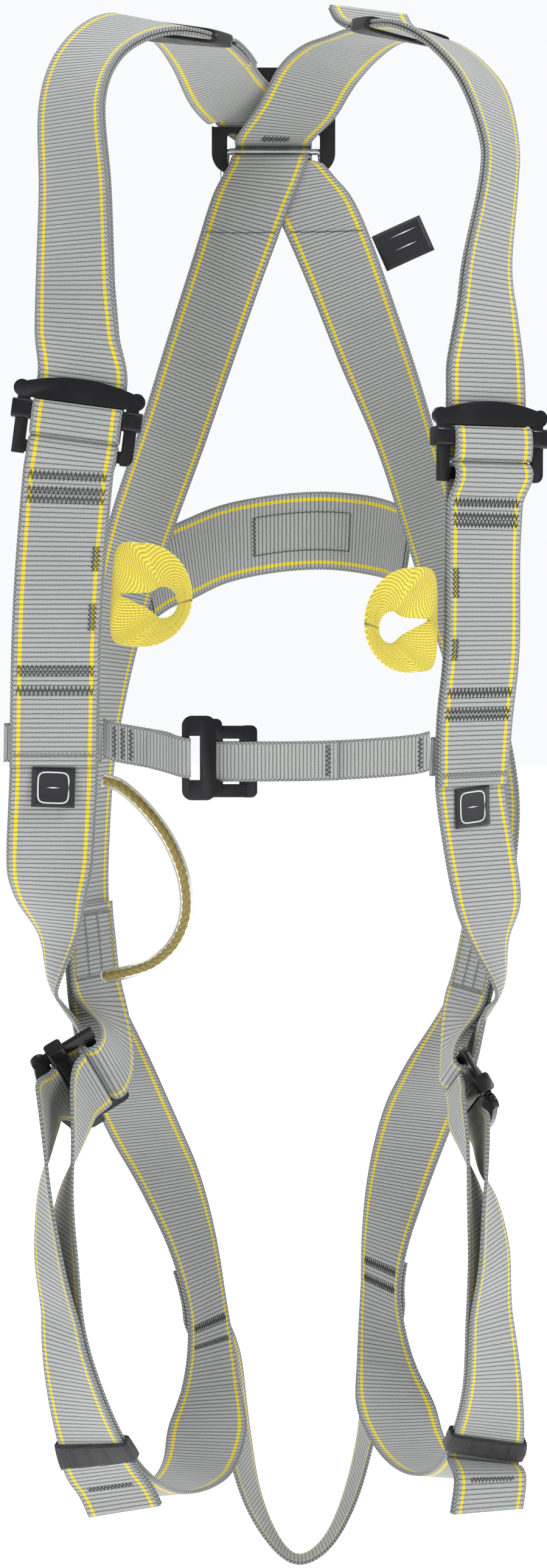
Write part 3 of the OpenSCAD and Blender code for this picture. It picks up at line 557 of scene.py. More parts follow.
@dataclass
class Web:
    """A length of webbing: its route, its width and its thickness."""

    run: Run
    width: float = WEB_W
    thick: float = WEB_T
    step: float = 0.0025

    def __post_init__(self) -> None:
        """Resample the route as a cubic curve.

        Each gap is a Hermite cubic. Its end slopes come from the three nearest stations,
        weighted by the gaps' lengths, so that a tight turn stays tight and a long
        straight stays straight.
        """
        rows = self.run.rows
        gap = np.maximum(np.linalg.norm(np.diff(rows[:, :3], axis=0), axis=1), 1e-6)
        s = np.concatenate([[0.0], np.cumsum(gap)])
        rate = np.diff(rows, axis=0) / gap[:, None]
        slope = np.empty_like(rows)
        slope[0], slope[-1] = rate[0], rate[-1]
        before, after = gap[:-1, None], gap[1:, None]
        slope[1:-1] = (rate[:-1] * after + rate[1:] * before) / (before + after)
        mids = (s[:-1] + s[1:]) / 2
        v = np.unique(np.concatenate([s, mids, np.arange(0, s[-1], self.step)]).round(6))
        v = v[np.concatenate([[True], np.diff(v) > 0.0003])]
        i = np.clip(np.searchsorted(s, v, side="right") - 1, 0, len(gap) - 1)
        t, h = ((v - s[i]) / gap[i])[:, None], gap[i][:, None]
        curve = ((2 * t**3 - 3 * t**2 + 1) * rows[i] + (t**3 - 2 * t**2 + t) * h * slope[i]
                 + (3 * t**2 - 2 * t**3) * rows[i + 1] + (t**3 - t**2) * h * slope[i + 1])
        self.v = v
        self.fine = Run(curve)
        self.length = float(s[-1])
        self.mid, self.across, self.out = self.fine.points, self.fine.widths, self.fine.facings

    def near(self, point: Array) -> float:
        """Return the length along the webbing at which its middle is nearest a point."""
        return float(self.v[np.argmin(np.linalg.norm(self.mid - point, axis=1))])

    def at(self, u: Array, v: Array, lift: Array | float = 0.0, face: int = 1) -> tuple[Array, Array]:
        """Return points and normals on a face.

        Args:
            u: Places across, from the middle.
            v: Places along.
            lift: Height above the face.
            face: 1 for the front face and -1 for the other.

        Returns:
            The points: middle + u across + (half thickness + lift) outwards, and the
            outward normals.
        """
        u, v = np.broadcast_arrays(np.asarray(u, float), np.asarray(v, float))
        mid, across, out = (np.stack([np.interp(v, self.v, a[:, k]) for k in range(3)], -1)
                            for a in (self.mid, self.across, self.out))
        out = unit(out) * face
        height = np.asarray(self.thick / 2 + lift)
        return mid + u[..., None] * unit(across) + height[..., None] * out, out

    def add_to(self, shape: Shape, first: float = 0.0, last: float | None = None) -> None:
        """Add the closed ribbon between two places along it.

        The section is a flat band with round selvedges: a face point is (x, +-t / 2) with
        a 0.12 mm bead 1.2 mm inside each edge, and an edge is a half circle of radius t / 2.
        """
        last = self.length if last is None else last
        keep = (self.v >= first - 1e-6) & (self.v <= last + 1e-6)
        half, r = self.width / 2, self.thick / 2
        flat = np.linspace(-1, 1, 13) * (half - r)
        bead = 0.00012 * np.exp(-((np.abs(flat) - half + 0.0016) / 0.0009) ** 2)
        turn = np.linspace(0, np.pi, 6)[1:-1]
        x = np.concatenate([flat, half - r + r * np.sin(turn), flat[::-1], -(half - r) - r * np.sin(turn)])
        y = np.concatenate([r + bead, r * np.cos(turn), -(r + bead[::-1]), -r * np.cos(turn)])
        mid, across, out = (a[keep][:, None] for a in (self.mid, self.across, self.out))
        points = mid + x[None, :, None] * across + y[None, :, None] * out
        rows, cols = points.shape[:2]
        faces = grid_faces(rows, cols, Seams.TUBE)[:, ::-1]
        u = np.broadcast_to(x, (rows, cols))
        v = np.broadcast_to(self.v[keep][:, None], (rows, cols))
        # Each end is closed by quads between the two faces and across the selvedges
        m = len(flat)
        j = np.arange(m - 1)
        end = np.vstack([
            np.stack([j, j + 1, 2 * m + 2 - j, 2 * m + 3 - j], -1),
            [[m - 1, m, m + 3, m + 4], [m, m + 1, m + 2, m + 3]],
            [[cols - 5, cols - 4, cols - 1, 0], [cols - 4, cols - 3, cols - 2, cols - 1]]])
        caps = np.vstack([end, end[:, ::-1] + (rows - 1) * cols])
        faces = np.vstack([faces, caps])
        shape.add(points, faces, corner_places(u, v, faces))


# ---------------------------------------------------------------- finishes


class Tree:
    """A node tree with short calls for the nodes that the finishes use."""

    def __init__(self, tree: bpy.types.NodeTree) -> None:
        """Keep the tree."""
        self.tree = tree

    def node(self, kind: str, **values: object) -> bpy.types.Node:
        """Return a new node with attributes set."""
        node = self.tree.nodes.new(kind)
        for name, value in values.items():
            setattr(node, name, value)
        return node

    def link(self, out: bpy.types.NodeSocket, into: bpy.types.NodeSocket) -> None:
        """Join an output to an input."""
        self.tree.links.new(out, into)

    def feed(self, socket: bpy.types.NodeSocket, value: object) -> None:
        """Set an input to a number or colour, or join an output to it."""
        if isinstance(value, bpy.types.NodeSocket):
            self.link(value, socket)
        else:
            socket.default_value = value

    def math(self, kind: str, a: object, b: object = 0.0, c: object = 0.0) -> bpy.types.NodeSocket:
        """Return the result of a Math node."""
        node = self.node("ShaderNodeMath", operation=kind)
        for socket, value in zip(node.inputs, (a, b, c)):
            self.feed(socket, value)
        return node.outputs[0]

    def between(self, value: object, low: float, high: float) -> bpy.types.NodeSocket:
        """Return a smooth 0 to 1 as value goes from low to high."""
        node = self.node("ShaderNodeMapRange", interpolation_type="SMOOTHSTEP")
        self.feed(node.inputs["Value"], value)
        node.inputs["From Min"].default_value, node.inputs["From Max"].default_value = low, high
        return node.outputs[0]

    def noise(self, vector: object, scale: float, detail: float = 2.0) -> bpy.types.NodeSocket:
        """Return a noise value at a scale in cycles a metre."""
        node = self.node("ShaderNodeTexNoise")
        self.feed(node.inputs["Vector"], vector)
        node.inputs["Scale"].default_value = scale
        node.inputs["Detail"].default_value = detail
        return node.outputs["Fac"]

    def mix(self, factor: object, a: object, b: object) -> bpy.types.NodeSocket:
        """Return colour a mixed to colour b."""
        node = self.node("ShaderNodeMix", data_type="RGBA")
        self.feed(node.inputs[0], factor)
        self.feed(node.inputs[6], a)
        self.feed(node.inputs[7], b)
        return node.outputs[2]

    def group(self, tree: bpy.types.NodeTree, **values: object) -> bpy.types.Node:
        """Return a group node with its inputs set by name, underscores standing for spaces."""
        node = self.node("ShaderNodeGroup", node_tree=tree)
        for name, value in values.items():
            self.feed(node.inputs[name.replace("_", " ")], value)
        return node


def new_group(name: str, inputs: dict[str, float | None],
              outputs: Sequence[str]) -> tuple[Tree, bpy.types.Node, bpy.types.Node]:
    """Return a new shader group, its input node and its output node.

    Args:
        name: The group's name.
        inputs: Each input's usual value, or None for a vector.
        outputs: The names of its value outputs.

    Returns:
        The tree and its two end nodes.
    """
    tree = bpy.data.node_groups.new(name, "ShaderNodeTree")
    for label, value in inputs.items():
        kind = "NodeSocketVector" if value is None else "NodeSocketFloat"
        socket = tree.interface.new_socket(name=label, in_out="INPUT", socket_type=kind)
        if value is not None:
            socket.default_value = value
    for label in outputs:
        tree.interface.new_socket(name=label, in_out="OUTPUT", socket_type="NodeSocketFloat")
    wrapped = Tree(tree)
    return wrapped, wrapped.node("NodeGroupInput"), wrapped.node("NodeGroupOutput")


class Effects:
    """The shared effects, each built once."""

    def __init__(self) -> None:
        """Build every group."""
        self.weave = self._weave()
        self.twill = self._twill()
        self.scuffs = self._scuffs()

    @staticmethod
    def _weave() -> bpy.types.NodeTree:
        """Return the rib weave of webbing, on places in metres.

        Rib height is |sin(pi v / pitch)| ^ 0.7, shifted by a slow noise and by half a yarn
        on every other warp yarn. The selvedge is a braid: sin(2 pi (v / pitch +- u / yarn)).
        The Shade output is painted shading: dark in the gaps and light on the tops of the
        ribs and braid, plus a random yarn tone.
        """
        t, a, z = new_group("Rib weave", {"Place": None, "Rib": 0.0024, "Yarn": 0.0012, "Half width": 0.0225,
                                         "Stripe at": 0.019, "Stripe half": 0.0008},
                            ("Height", "Shade", "Stripe", "Selvedge"))
        part = t.node("ShaderNodeSeparateXYZ")
        t.link(a.outputs["Place"], part.inputs[0])
        u, v = part.outputs[0], part.outputs[1]
        wobble = t.math("MULTIPLY", t.math("SUBTRACT", t.noise(a.outputs["Place"], 260.0), 0.5), 0.0003)
        yarn = t.math("SINE", t.math("MULTIPLY", t.math("DIVIDE", u, a.outputs["Yarn"]), 2 * math.pi))
        v2 = t.math("ADD", t.math("ADD", v, wobble), t.math("MULTIPLY", yarn, 0.00009))
        turn = t.math("MULTIPLY", t.math("DIVIDE", v2, a.outputs["Rib"]), math.pi)
        rib = t.math("ABSOLUTE", t.math("SINE", turn))
        rib = t.math("POWER", rib, 0.7)
        side = t.math("ABSOLUTE", u)
        from_edge = t.math("SUBTRACT", a.outputs["Half width"], side)
        selvedge = t.between(from_edge, 0.0017, 0.0012)
        braid = t.math("SINE", t.math("MULTIPLY", t.math("ADD", t.math("DIVIDE", v, 0.0021),
                                                         t.math("DIVIDE", side, 0.0017)), 2 * math.pi))
        braid = t.between(braid, -0.5, 0.6)
        off = t.math("ABSOLUTE", t.math("SUBTRACT", side, a.outputs["Stripe at"]))
        edge = t.math("SUBTRACT", off, a.outputs["Stripe half"])
        stripe = t.between(edge, 0.00022, -0.0001)
        fuzz = t.noise(a.outputs["Place"], 2600.0, 3.0)
        body = t.math("MULTIPLY_ADD", t.math("MULTIPLY", yarn, rib), 0.14, rib)
        height = t.math("ADD", t.math("MULTIPLY", body, t.math("SUBTRACT", 1.0, selvedge)),
                        t.math("MULTIPLY", braid, selvedge))
        # The Shade output is painted shading: dark in the gaps and light on the tops of the ribs and braid,
        # plus a random yarn tone
        painted_shading_and_tone = t.math("ADD", t.math("MULTIPLY", height, 0.62), t.math("MULTIPLY", fuzz, 0.55))
        for label, value in zip(("Height", "Shade", "Stripe", "Selvedge"),
                                (t.math("MULTIPLY_ADD", fuzz, 0.35, height), painted_shading_and_tone, stripe, selvedge)):
            t.link(value, z.inputs[label])
        return t.tree

    @staticmethod
    def _twill() -> bpy.types.NodeTree:
        """Return a fine diagonal weave: sin(2 pi (u + v) / pitch) crossed by finer yarns."""
        t, a, z = new_group("Twill", {"Place": None, "Pitch": 0.0014, "Lean": 1.0}, ("Height", "Shade"))
        part = t.node("ShaderNodeSeparateXYZ")
        t.link(a.outputs["Place"], part.inputs[0])
        u, v = part.outputs[0], part.outputs[1]
        along = t.math("DIVIDE", t.math("MULTIPLY_ADD", v, a.outputs["Lean"], u), a.outputs["Pitch"])
        across = t.math("DIVIDE", t.math("SUBTRACT", v, u), a.outputs["Pitch"])
        ridge = t.between(t.math("SINE", t.math("MULTIPLY", along, 2 * math.pi)), -0.7, 0.7)
        yarn = t.between(t.math("SINE", t.math("MULTIPLY", across, 5.2)), -1.0, 1.0)
        fuzz = t.noise(a.outputs["Place"], 2200.0, 3.0)
        height = t.math("MULTIPLY_ADD", yarn, 0.35, ridge)
        t.link(t.math("MULTIPLY_ADD", fuzz, 0.3, height), z.inputs["Height"])
        # The Shade output is painted shading: dark in the weave's hollows and light on its ridges, plus a
        # random yarn tone
        painted_shading_and_tone = t.math("ADD", t.math("MULTIPLY", height, 0.6), t.math("MULTIPLY", fuzz, 0.45))
        t.link(painted_shading_and_tone, z.inputs["Shade"])
        return t.tree

    @staticmethod
    def _scuffs() -> bpy.types.NodeTree:
        """Return wear on a hard surface: fine scratches, soft patches and a grain."""
        t, a, z = new_group("Scuffs", {"Place": None, "Grain": 1800.0, "Amount": 0.5},
                            ("Scratch", "Patch", "Grain"))
        stretch = t.node("ShaderNodeMapping")
        t.link(a.outputs["Place"], stretch.inputs["Vector"])
        stretch.inputs["Scale"].default_value = (1.0, 1.0, 0.12)
        stretch.inputs["Rotation"].default_value = (0.3, 0.5, 0.4)
        lines = t.between(t.noise(stretch.outputs[0], 900.0, 3.0), 0.62, 0.72)
        patch = t.between(t.noise(a.outputs["Place"], 55.0, 3.0), 0.4, 0.75)
        grain = t.node("ShaderNodeTexNoise")
        t.link(a.outputs["Place"], grain.inputs["Vector"])
        t.link(a.outputs["Grain"], grain.inputs["Scale"])
        grain.inputs["Detail"].default_value = 2.0
        t.link(t.math("MULTIPLY", t.math("MULTIPLY", lines, patch), a.outputs["Amount"]), z.inputs["Scratch"])
        t.link(patch, z.inputs["Patch"])
        t.link(grain.outputs["Fac"], z.inputs["Grain"])
        return t.tree


Colour = tuple[float, float, float]


def rgba(colour: Colour, scale: float = 1.0) -> tuple[float, float, float, float]:
    """Return a colour with full alpha, made lighter or darker."""
    return (*(min(c * scale, 1.0) for c in colour), 1.0)


def start_material(name: str, roughness: float,
                   **constants: float) -> tuple[bpy.types.Material, Tree, bpy.types.Node]:
    """Return a new material, its tree and its Principled shader with plain values set."""
    material = bpy.data.materials.new(name)
    material.use_nodes = True
    tree = Tree(material.node_tree)
    shader = material.node_tree.nodes["Principled BSDF"]
    shader.inputs["Roughness"].default_value = roughness
    for label, value in constants.items():
        shader.inputs[label.replace("_", " ")].default_value = value
    return material, tree, shader


def add_bump(tree: Tree, shader: bpy.types.Node, height: bpy.types.NodeSocket, depth: float,
             strength: float = 1.0) -> None:
    """Give a shader a bump of some depth in metres."""
    bump = tree.node("ShaderNodeBump")
    bump.inputs["Distance"].default_value = depth
    bump.inputs["Strength"].default_value = strength
    tree.link(height, bump.inputs["Height"])
    tree.link(bump.outputs[0], shader.inputs["Normal"])


@dataclass(frozen=True)
class WebbingFinish:
    """Woven webbing: ribs across, a braided selvedge and, on load webbing, two stripes."""

    name: str
    ground: Colour
    width: float
    stripe: Colour | None = None
    rib: float = 0.0024
    yarn: float = 0.0012
    depth: float = 0.00036
    stripe_in: float = 0.0044
    stripe_w: float = 0.0018

    def material(self, effects: Effects) -> bpy.types.Material:
        """Return the material."""
        material, t, shader = start_material(self.name, 0.78, Sheen_Weight=0.25, Sheen_Roughness=0.5,
                                             Specular_IOR_Level=0.3)
        place = t.node("ShaderNodeUVMap", uv_map="UVMap").outputs[0]
        half = self.width / 2
        weave = t.group(effects.weave, Place=place, Rib=self.rib, Yarn=self.yarn, Half_width=half,
                        Stripe_at=half - self.stripe_in, Stripe_half=self.stripe_w / 2)
        painted_shading_and_tone = weave.outputs["Shade"]
        # Painted shading: the ground, the selvedge braid and the stripes each run from dark in the rib gaps
        # to light on the rib tops
        colour = t.mix(t.between(painted_shading_and_tone, 0.25, 0.8), rgba(self.ground, 0.2), rgba(self.ground, 1.45))
        braid = t.mix(t.between(painted_shading_and_tone, 0.15, 0.75), rgba(self.ground, 0.42), rgba(self.ground, 1.2))
        colour = t.mix(weave.outputs["Selvedge"], colour, braid)
        if self.stripe is not None:
            bright = t.mix(t.between(painted_shading_and_tone, 0.2, 0.8), rgba(self.stripe, 0.4), rgba(self.stripe, 1.15))
            colour = t.mix(weave.outputs["Stripe"], colour, bright)
        objects = t.node("ShaderNodeTexCoord").outputs["Object"]
        soil = t.between(t.noise(objects, 18.0, 4.0), 0.35, 0.8)
        colour = t.mix(t.math("MULTIPLY", soil, 0.16), colour, rgba(self.ground, 0.55))
        t.link(colour, shader.inputs["Base Color"])
        add_bump(t, shader, weave.outputs["Height"], self.depth)
        return material


@dataclass(frozen=True)
class TwillFinish:
    """A finer cloth with a diagonal weave."""

    name: str
    ground: Colour
    pitch: float = 0.0013
    lean: float = 1.0
    rough: float = 0.72
    low: float = 0.55
    high: float = 1.15
    depth: float = 0.00016

    def material(self, effects: Effects) -> bpy.types.Material:
        """Return the material."""
        material, t, shader = start_material(self.name, self.rough, Sheen_Weight=0.2, Specular_IOR_Level=0.35)
        place = t.node("ShaderNodeUVMap", uv_map="UVMap").outputs[0]
        weave = t.group(effects.twill, Place=place, Pitch=self.pitch, Lean=self.lean)
        # Painted shading: the colour runs from dark in the weave's hollows to light on its ridges
        colour = t.mix(weave.outputs["Shade"], rgba(self.ground, self.low), rgba(self.ground, self.high))
        t.link(colour, shader.inputs["Base Color"])
        add_bump(t, shader, weave.outputs["Height"], self.depth)
        return material


@dataclass(frozen=True)
class HardFinish:
    """Coated or bare metal and moulded plastic."""

    name: str
    ground: Colour
    worn: Colour
    metallic: float
    rough: float
    coat: float = 0.0
    grain: float = 1800.0
    depth: float = 0.00002
    wear: float = 0.5

    def material(self, effects: Effects) -> bpy.types.Material:
        """Return the material."""
        material, t, shader = start_material(self.name, self.rough, Metallic=self.metallic,
                                             Coat_Weight=self.coat, Coat_Roughness=0.18,
                                             Specular_IOR_Level=0.3)
        place = t.node("ShaderNodeTexCoord").outputs["Object"]
        scuffs = t.group(effects.scuffs, Place=place, Grain=self.grain, Amount=self.wear)
        mottled = t.mix(scuffs.outputs["Patch"], rgba(self.ground, 0.86), rgba(self.ground, 1.12))
        t.link(t.mix(scuffs.outputs["Scratch"], mottled, rgba(self.worn)), shader.inputs["Base Color"])
        rough = t.math("MULTIPLY_ADD", scuffs.outputs["Patch"], 0.1, self.rough - 0.05)
        t.link(t.math("MULTIPLY_ADD", scuffs.outputs["Scratch"], 0.25, rough), shader.inputs["Roughness"])
        add_bump(t, shader, scuffs.outputs["Grain"], self.depth)
        return material


@dataclass(frozen=True)
class ClearFinish:
    """A clear soft plastic tube."""

    name: str
    tint: Colour

    def material(self, effects: Effects) -> bpy.types.Material:
        """Return the material."""
        material, t, shader = start_material(self.name, 0.12, Transmission_Weight=1.0, IOR=1.3)
        place = t.node("ShaderNodeTexCoord").outputs["Object"]
        cloud = t.noise(place, 120.0)
        t.link(t.mix(cloud, rgba(self.tint, 0.94), rgba(self.tint)), shader.inputs["Base Color"])
        t.link(t.math("MULTIPLY_ADD", cloud, 0.12, 0.06), shader.inputs["Roughness"])
        return material


class Finishes:
    """Every finish on the harness, built once."""

    def __init__(self) -> None:
        """Build the shared effects and the materials."""
        fx = Effects()
        grey = (0.27, 0.283, 0.278)
        self.web = WebbingFinish("load_webbing", grey, WEB_W, stripe=(0.72, 0.56, 0.02)).material(fx)
        self.chest = WebbingFinish("chest_webbing", (0.26, 0.27, 0.262), CHEST_W, rib=0.0019, yarn=0.0010,
                                   depth=0.0002).material(fx)
        self.patch = WebbingFinish("patch_webbing", (0.26, 0.27, 0.262), 0.025, rib=0.0019,
                                   yarn=0.0009).material(fx)
        self.elastic = WebbingFinish("black_elastic", (0.012, 0.012, 0.0145), 0.016, rib=0.0012, yarn=0.0008,
                                     depth=0.00022).material(fx)
        self.yellow = TwillFinish("yellow_sleeve", (0.88, 0.72, 0.085), pitch=0.0021, low=0.45, high=1.12,
                                  depth=0.0004).material(fx)
        self.cord = TwillFinish("yellow_cord", (0.50, 0.36, 0.08), pitch=0.0016, low=0.35,
                                high=1.2).material(fx)
        self.label = TwillFinish("black_satin_label", (0.012, 0.012, 0.0145), pitch=0.0005, rough=0.42,
                                 depth=0.00005).material(fx)
        self.mark = TwillFinish("white_mark", (0.75, 0.76, 0.76), pitch=0.0005, depth=0.00004).material(fx)
        self.thread = TwillFinish("dark_thread", (0.085, 0.088, 0.09), pitch=0.0004, lean=3.0,
                                  depth=0.00008).material(fx)
        self.light_thread = TwillFinish("grey_thread", (0.40, 0.42, 0.42), pitch=0.0004, lean=3.0,
                                        depth=0.00008).material(fx)
        self.black = HardFinish("black_coat", (0.006, 0.006, 0.0075), (0.03, 0.03, 0.032), 0.0, 0.30,
                                coat=0.12, wear=0.35).material(fx)
        self.moulded = HardFinish("black_moulding", (0.007, 0.007, 0.0085), (0.025, 0.025, 0.025), 0.0, 0.42,
                                  grain=2600.0, depth=0.00004, wear=0.2).material(fx)
        self.steel = HardFinish("plated_steel", (0.72, 0.73, 0.75), (0.5, 0.5, 0.5), 1.0, 0.22,
                                grain=1500.0, wear=0.6).material(fx)
        self.tube = ClearFinish("clear_tube", (0.97, 0.98, 0.9)).material(fx)


# ---------------------------------------------------------------- routes


@dataclass(frozen=True)
class Adjuster:
    """Where an adjuster buckle sits; its axes are across, through and along it."""

    place: Array
    frame: Array

    def point(self, across: float, through: float, along: float) -> Array:
        """Return a point given in the buckle's axes."""
        return self.place + np.array([across, through, along]) @ self.frame

    def turn(self, centre: tuple[float, float], r: float, first: float, last: float, w: Array,
             steps: int = 3) -> Run:
        """Return stations round a bar: angle 0 is along the buckle and 90 is through it.

        Args:
            centre: The bar's place through and along the buckle.
            r: Radius to the webbing's middle.
            first: First angle in degrees.
            last: Last angle in degrees.
            w: The webbing's width direction.
            steps: Gaps between stations.

        Returns:
            The stations.
        """
        g = np.radians(np.linspace(first, last, steps + 1))
        local = np.stack([np.zeros_like(g), centre[0] + r * np.sin(g), centre[1] + r * np.cos(g)], -1)
        return Run(np.hstack([self.place + local @ self.frame, np.tile(w, (len(g), 1))]))

    def tail_turn(self, w: Array, start: float = 90) -> Run:
        """Return the free end's way from behind the end bar round the slide bar."""
        half = SLIDE_BAR_T / 2
        turns = self.turn((FRAME_T / 2, END_BAR_LOW), BEND, start, 180, w).then(
            self.turn((-half, END_BAR_LOW - 2 * BEND), BEND, 0, -90, w),
            self.turn((-half, LOOP_LOW), BEND, -90, -180, w),
            Run([[*self.point(0, FRAME_T / 2 + PITCH, LOOP_LOW - BEND), *w]]))
        if start > 90:
            return turns
        top = self.point(0, FRAME_T / 2 + BEND, FRAME_LEN + 0.002)
        return Run([[*top, *w]]).then(turns)

    def main_turn(self, w: Array) -> Run:
        """Return the loaded side's turn from under the slide bar."""
        return self.turn((FRAME_T / 2 + PITCH + 0.0006, LOOP_LOW), BEND, 180, 90, w)

    def main_exit(self, w: Array) -> Run:
        """Return the loaded side's way out behind the free end."""
        a = self.point(0, FRAME_T / 2 + PITCH + 0.0006 + BEND, END_BAR_LOW)
        b = self.point(0, FRAME_T / 2 + PITCH + BEND, FRAME_LEN + 0.002)
        return self.main_turn(w).then(Run([[*a, *w], [*b, *w]]))

    def bar_turn(self, first: float, last: float, w: Array) -> Run:
        """Return the sewn strap's turn round the plain bar."""
        return self.turn((0.0, BAR_MID), FOLD_R, first, last, w, 8)


def round_ring(r: float, first: int, last: int) -> Run:
    """Return webbing round the D-ring's bar; angle 0 is above it and 90 behind it."""
    g = np.radians(np.arange(first, last + 1, 15))
    zero = np.zeros_like(g)
    return Run(np.stack([zero, r * np.sin(g), RING_REACH + r * np.cos(g), zero + 1, zero, zero], -1))


def one(x: float, y: float, z: float, w: Sequence[float] = (1, 0, 0)) -> Run:
    """Return a run of one station."""
    return Run([[x, y, z, *w]])


class Routes:
    """Every strap's way through the harness, worked out once."""

    HIP_CUT = 56
    SEAT_CUT = 80

    def __init__(self) -> None:
        """Lay out the buckles and then the webbing."""
        self.left_shoulder = Adjuster(at(-0.1005, -0.25, -0.206), axes((0.13, 0, 0.99), (0.99, 0, -0.13)))
        self.right_shoulder = Adjuster(at(0.108, -0.247, -0.217), axes((0, 0, 1), (0.89, 0.45, 0.05)))
        self.left_leg = Adjuster(at(-0.086, -0.188, -0.519), axes((-0.85, -0.15, -0.5), (0.3, 0.64, -0.7)))
        self.right_leg = Adjuster(at(0.095, -0.181, -0.52), axes((0.47, -0.32, -0.82), (0.1, -0.88, 0.44)))
        self._shoulders()
        self._rear()
        self._front()
        self._legs()
        self._cross()
        self._chest()

    def _shoulders(self) -> None:
        """Lay the shoulder straps and their free ends."""
        self.left_shoulder_line = placed(LEFT_SHOULDER_RUN).smooth(4)
        self.right_shoulder_line = placed(RIGHT_SHOULDER_RUN).smooth(4)
        wl, wr = self.left_shoulder.frame[0], self.right_shoulder.frame[0]
        self.left_shoulder_strap = self.left_shoulder.main_exit(wl).then(
            self.left_shoulder_line.layer(PITCH).carried_on(placed(LEFT_SHOULDER_FALL)),
            round_ring(OUTER_R, 0, 90))
        self.right_shoulder_strap = self.right_shoulder.main_exit(wr).then(
            self.right_shoulder_line.layer(PITCH).carried_on(placed(RIGHT_SHOULDER_FALL)),
            one(0, PLATE_FACE, RING_REACH + INNER_R + 0.0003), round_ring(INNER_R, 0, 90))
        self.left_shoulder_tail = self.left_shoulder.tail_turn(wl).back().then(
            self.left_shoulder_line.carried_on(placed(LEFT_SHOULDER_END)))
        self.right_shoulder_tail = self.right_shoulder.tail_turn(wr).back().then(
            self.right_shoulder_line.carried_on(placed(RIGHT_SHOULDER_END)))

    def _rear(self) -> None:
        """Lay the back and seat straps, which are one length on each side."""
        self.left_rear = placed(LEFT_REAR_RUN).smooth(4)
        self.right_rear = placed(RIGHT_REAR_RUN).smooth(4)
        self.left_back_strap = round_ring(INNER_R, 90, 165).then(
            one(0, PLATE_BACK + 0.001, RING_REACH - INNER_R - 0.0002),
            one(-0.002, PLATE_FACE - 0.003, RING_REACH - INNER_R - 0.0008),
            self.left_rear.part(0, self.HIP_CUT))
        self.right_back_strap = round_ring(OUTER_R, 90, 165).then(
            one(0, PLATE_BACK + 0.001, RING_REACH - OUTER_R - 0.0003),
            one(0.002, PLATE_FACE - 0.0011, RING_REACH - OUTER_R - 0.001),
            self.right_rear.part(0, self.HIP_CUT))
        self.left_seat_strap = self.left_rear.part(self.HIP_CUT, self.SEAT_CUT)
        self.right_seat_strap = self.right_rear.part(self.HIP_CUT, self.SEAT_CUT)

    def _hip(self, upper: Adjuster, line: Run, hip: Run, leg: Adjuster, end: Run) -> Run:
        """Return a hip strap, from the shoulder buckle round the leg buckle to its end."""
        return upper.bar_turn(0, 90, upper.frame[0]).then(
            line.layer(-PITCH).carried_on(hip), leg.bar_turn(-45, 135, -leg.frame[0]), end)

    def _front(self) -> None:
        """Lay the front straps and the hip straps behind them."""
        self.left_front_line = placed(LEFT_FRONT_RUN).smooth(4)
        self.right_front_line = placed(RIGHT_FRONT_RUN).smooth(4)
        up_l, up_r = self.left_shoulder, self.right_shoulder
        self.left_front_strap = up_l.bar_turn(0, -90, up_l.frame[0]).then(self.left_front_line)
        self.right_front_strap = up_r.bar_turn(0, -90, up_r.frame[0]).then(self.right_front_line)
        self.left_hip_strap = self._hip(up_l, self.left_front_line, placed(LEFT_HIP_RUN), self.left_leg,
                                        self.left_rear.part(44, 52).layer(PITCH).turned_over())
        self.right_hip_strap = self._hip(up_r, self.right_front_line, placed(RIGHT_HIP_RUN), self.right_leg,
                                         self.right_rear.part(44, 52).layer(PITCH).turned_over())

    @staticmethod
    def _free_end(run: Run, line: Run, first: int, last: int, end: Run) -> Run:
        """Return a leg strap's free end: down to the strap, along its outside and off it."""
        doubled = line.part(first, last).layer(-PITCH).back()
        head = Run(np.vstack([run.rows, doubled.rows[[0, 4]]])).smooth(4)
        return head.part(0, 4 * len(run)).then(doubled.part(1, last - first)).carried_on(end)

    def _legs(self) -> None:
        """Lay the leg straps and their free ends."""
        self.left_tail_line = self._free_end(placed(LEFT_LEG_TAIL_RUN), self.left_rear, 98, 108,
                                             placed(LEFT_LEG_END))
        self.right_tail_line = self._free_end(placed(RIGHT_LEG_TAIL_RUN), self.right_rear, 95, 104,
                                              placed(RIGHT_LEG_END))
        wl, wr = -self.left_leg.frame[0], -self.right_leg.frame[0]
        last = len(self.left_rear) - 1
        self.left_leg_strap = self.left_rear.part(self.SEAT_CUT, last).then(
            self.left_leg.main_turn(wl).back())
        last = len(self.right_rear) - 1
        self.right_leg_strap = self.right_rear.part(self.SEAT_CUT, last).then(
            self.right_leg.main_turn(wr).back())
        self.left_leg_tail = self.left_leg.tail_turn(wl, 120).back().then(self.left_tail_line).back()
        self.right_leg_tail = self.right_leg.tail_turn(wr, 120).back().then(self.right_tail_line).back()

    def _cross(self) -> None:
        """Lay the strap behind the waist, its patch and the strap below the seat."""
        self.waist_strap = placed(WAIST_RUN).smooth(4)
        self.waist_patch = self.waist_strap.part(14, 23).layer(-PITCH)
        self.subpelvic_strap = self.left_rear.part(73, 76).layer(-PITCH).carried_on(
            placed(SUBPELVIC_RUN), 3).then(self.right_rear.part(73, 76).layer(-PITCH).turned_over())

    @staticmethod
    def _root(line: Run, i: int, out: float, inward: float) -> Run:
        """Return chest webbing sewn across the back of a front strap at station i."""
        behind = line.points[i] - line.facings[i] * 2 * PITCH
        up = unit(line.points[i - 1] - line.points[i + 1])
        u = np.linspace(out, inward, 5)[:, None]
        return Run(np.hstack([behind + u * line.widths[i], np.tile(up, (5, 1))]))

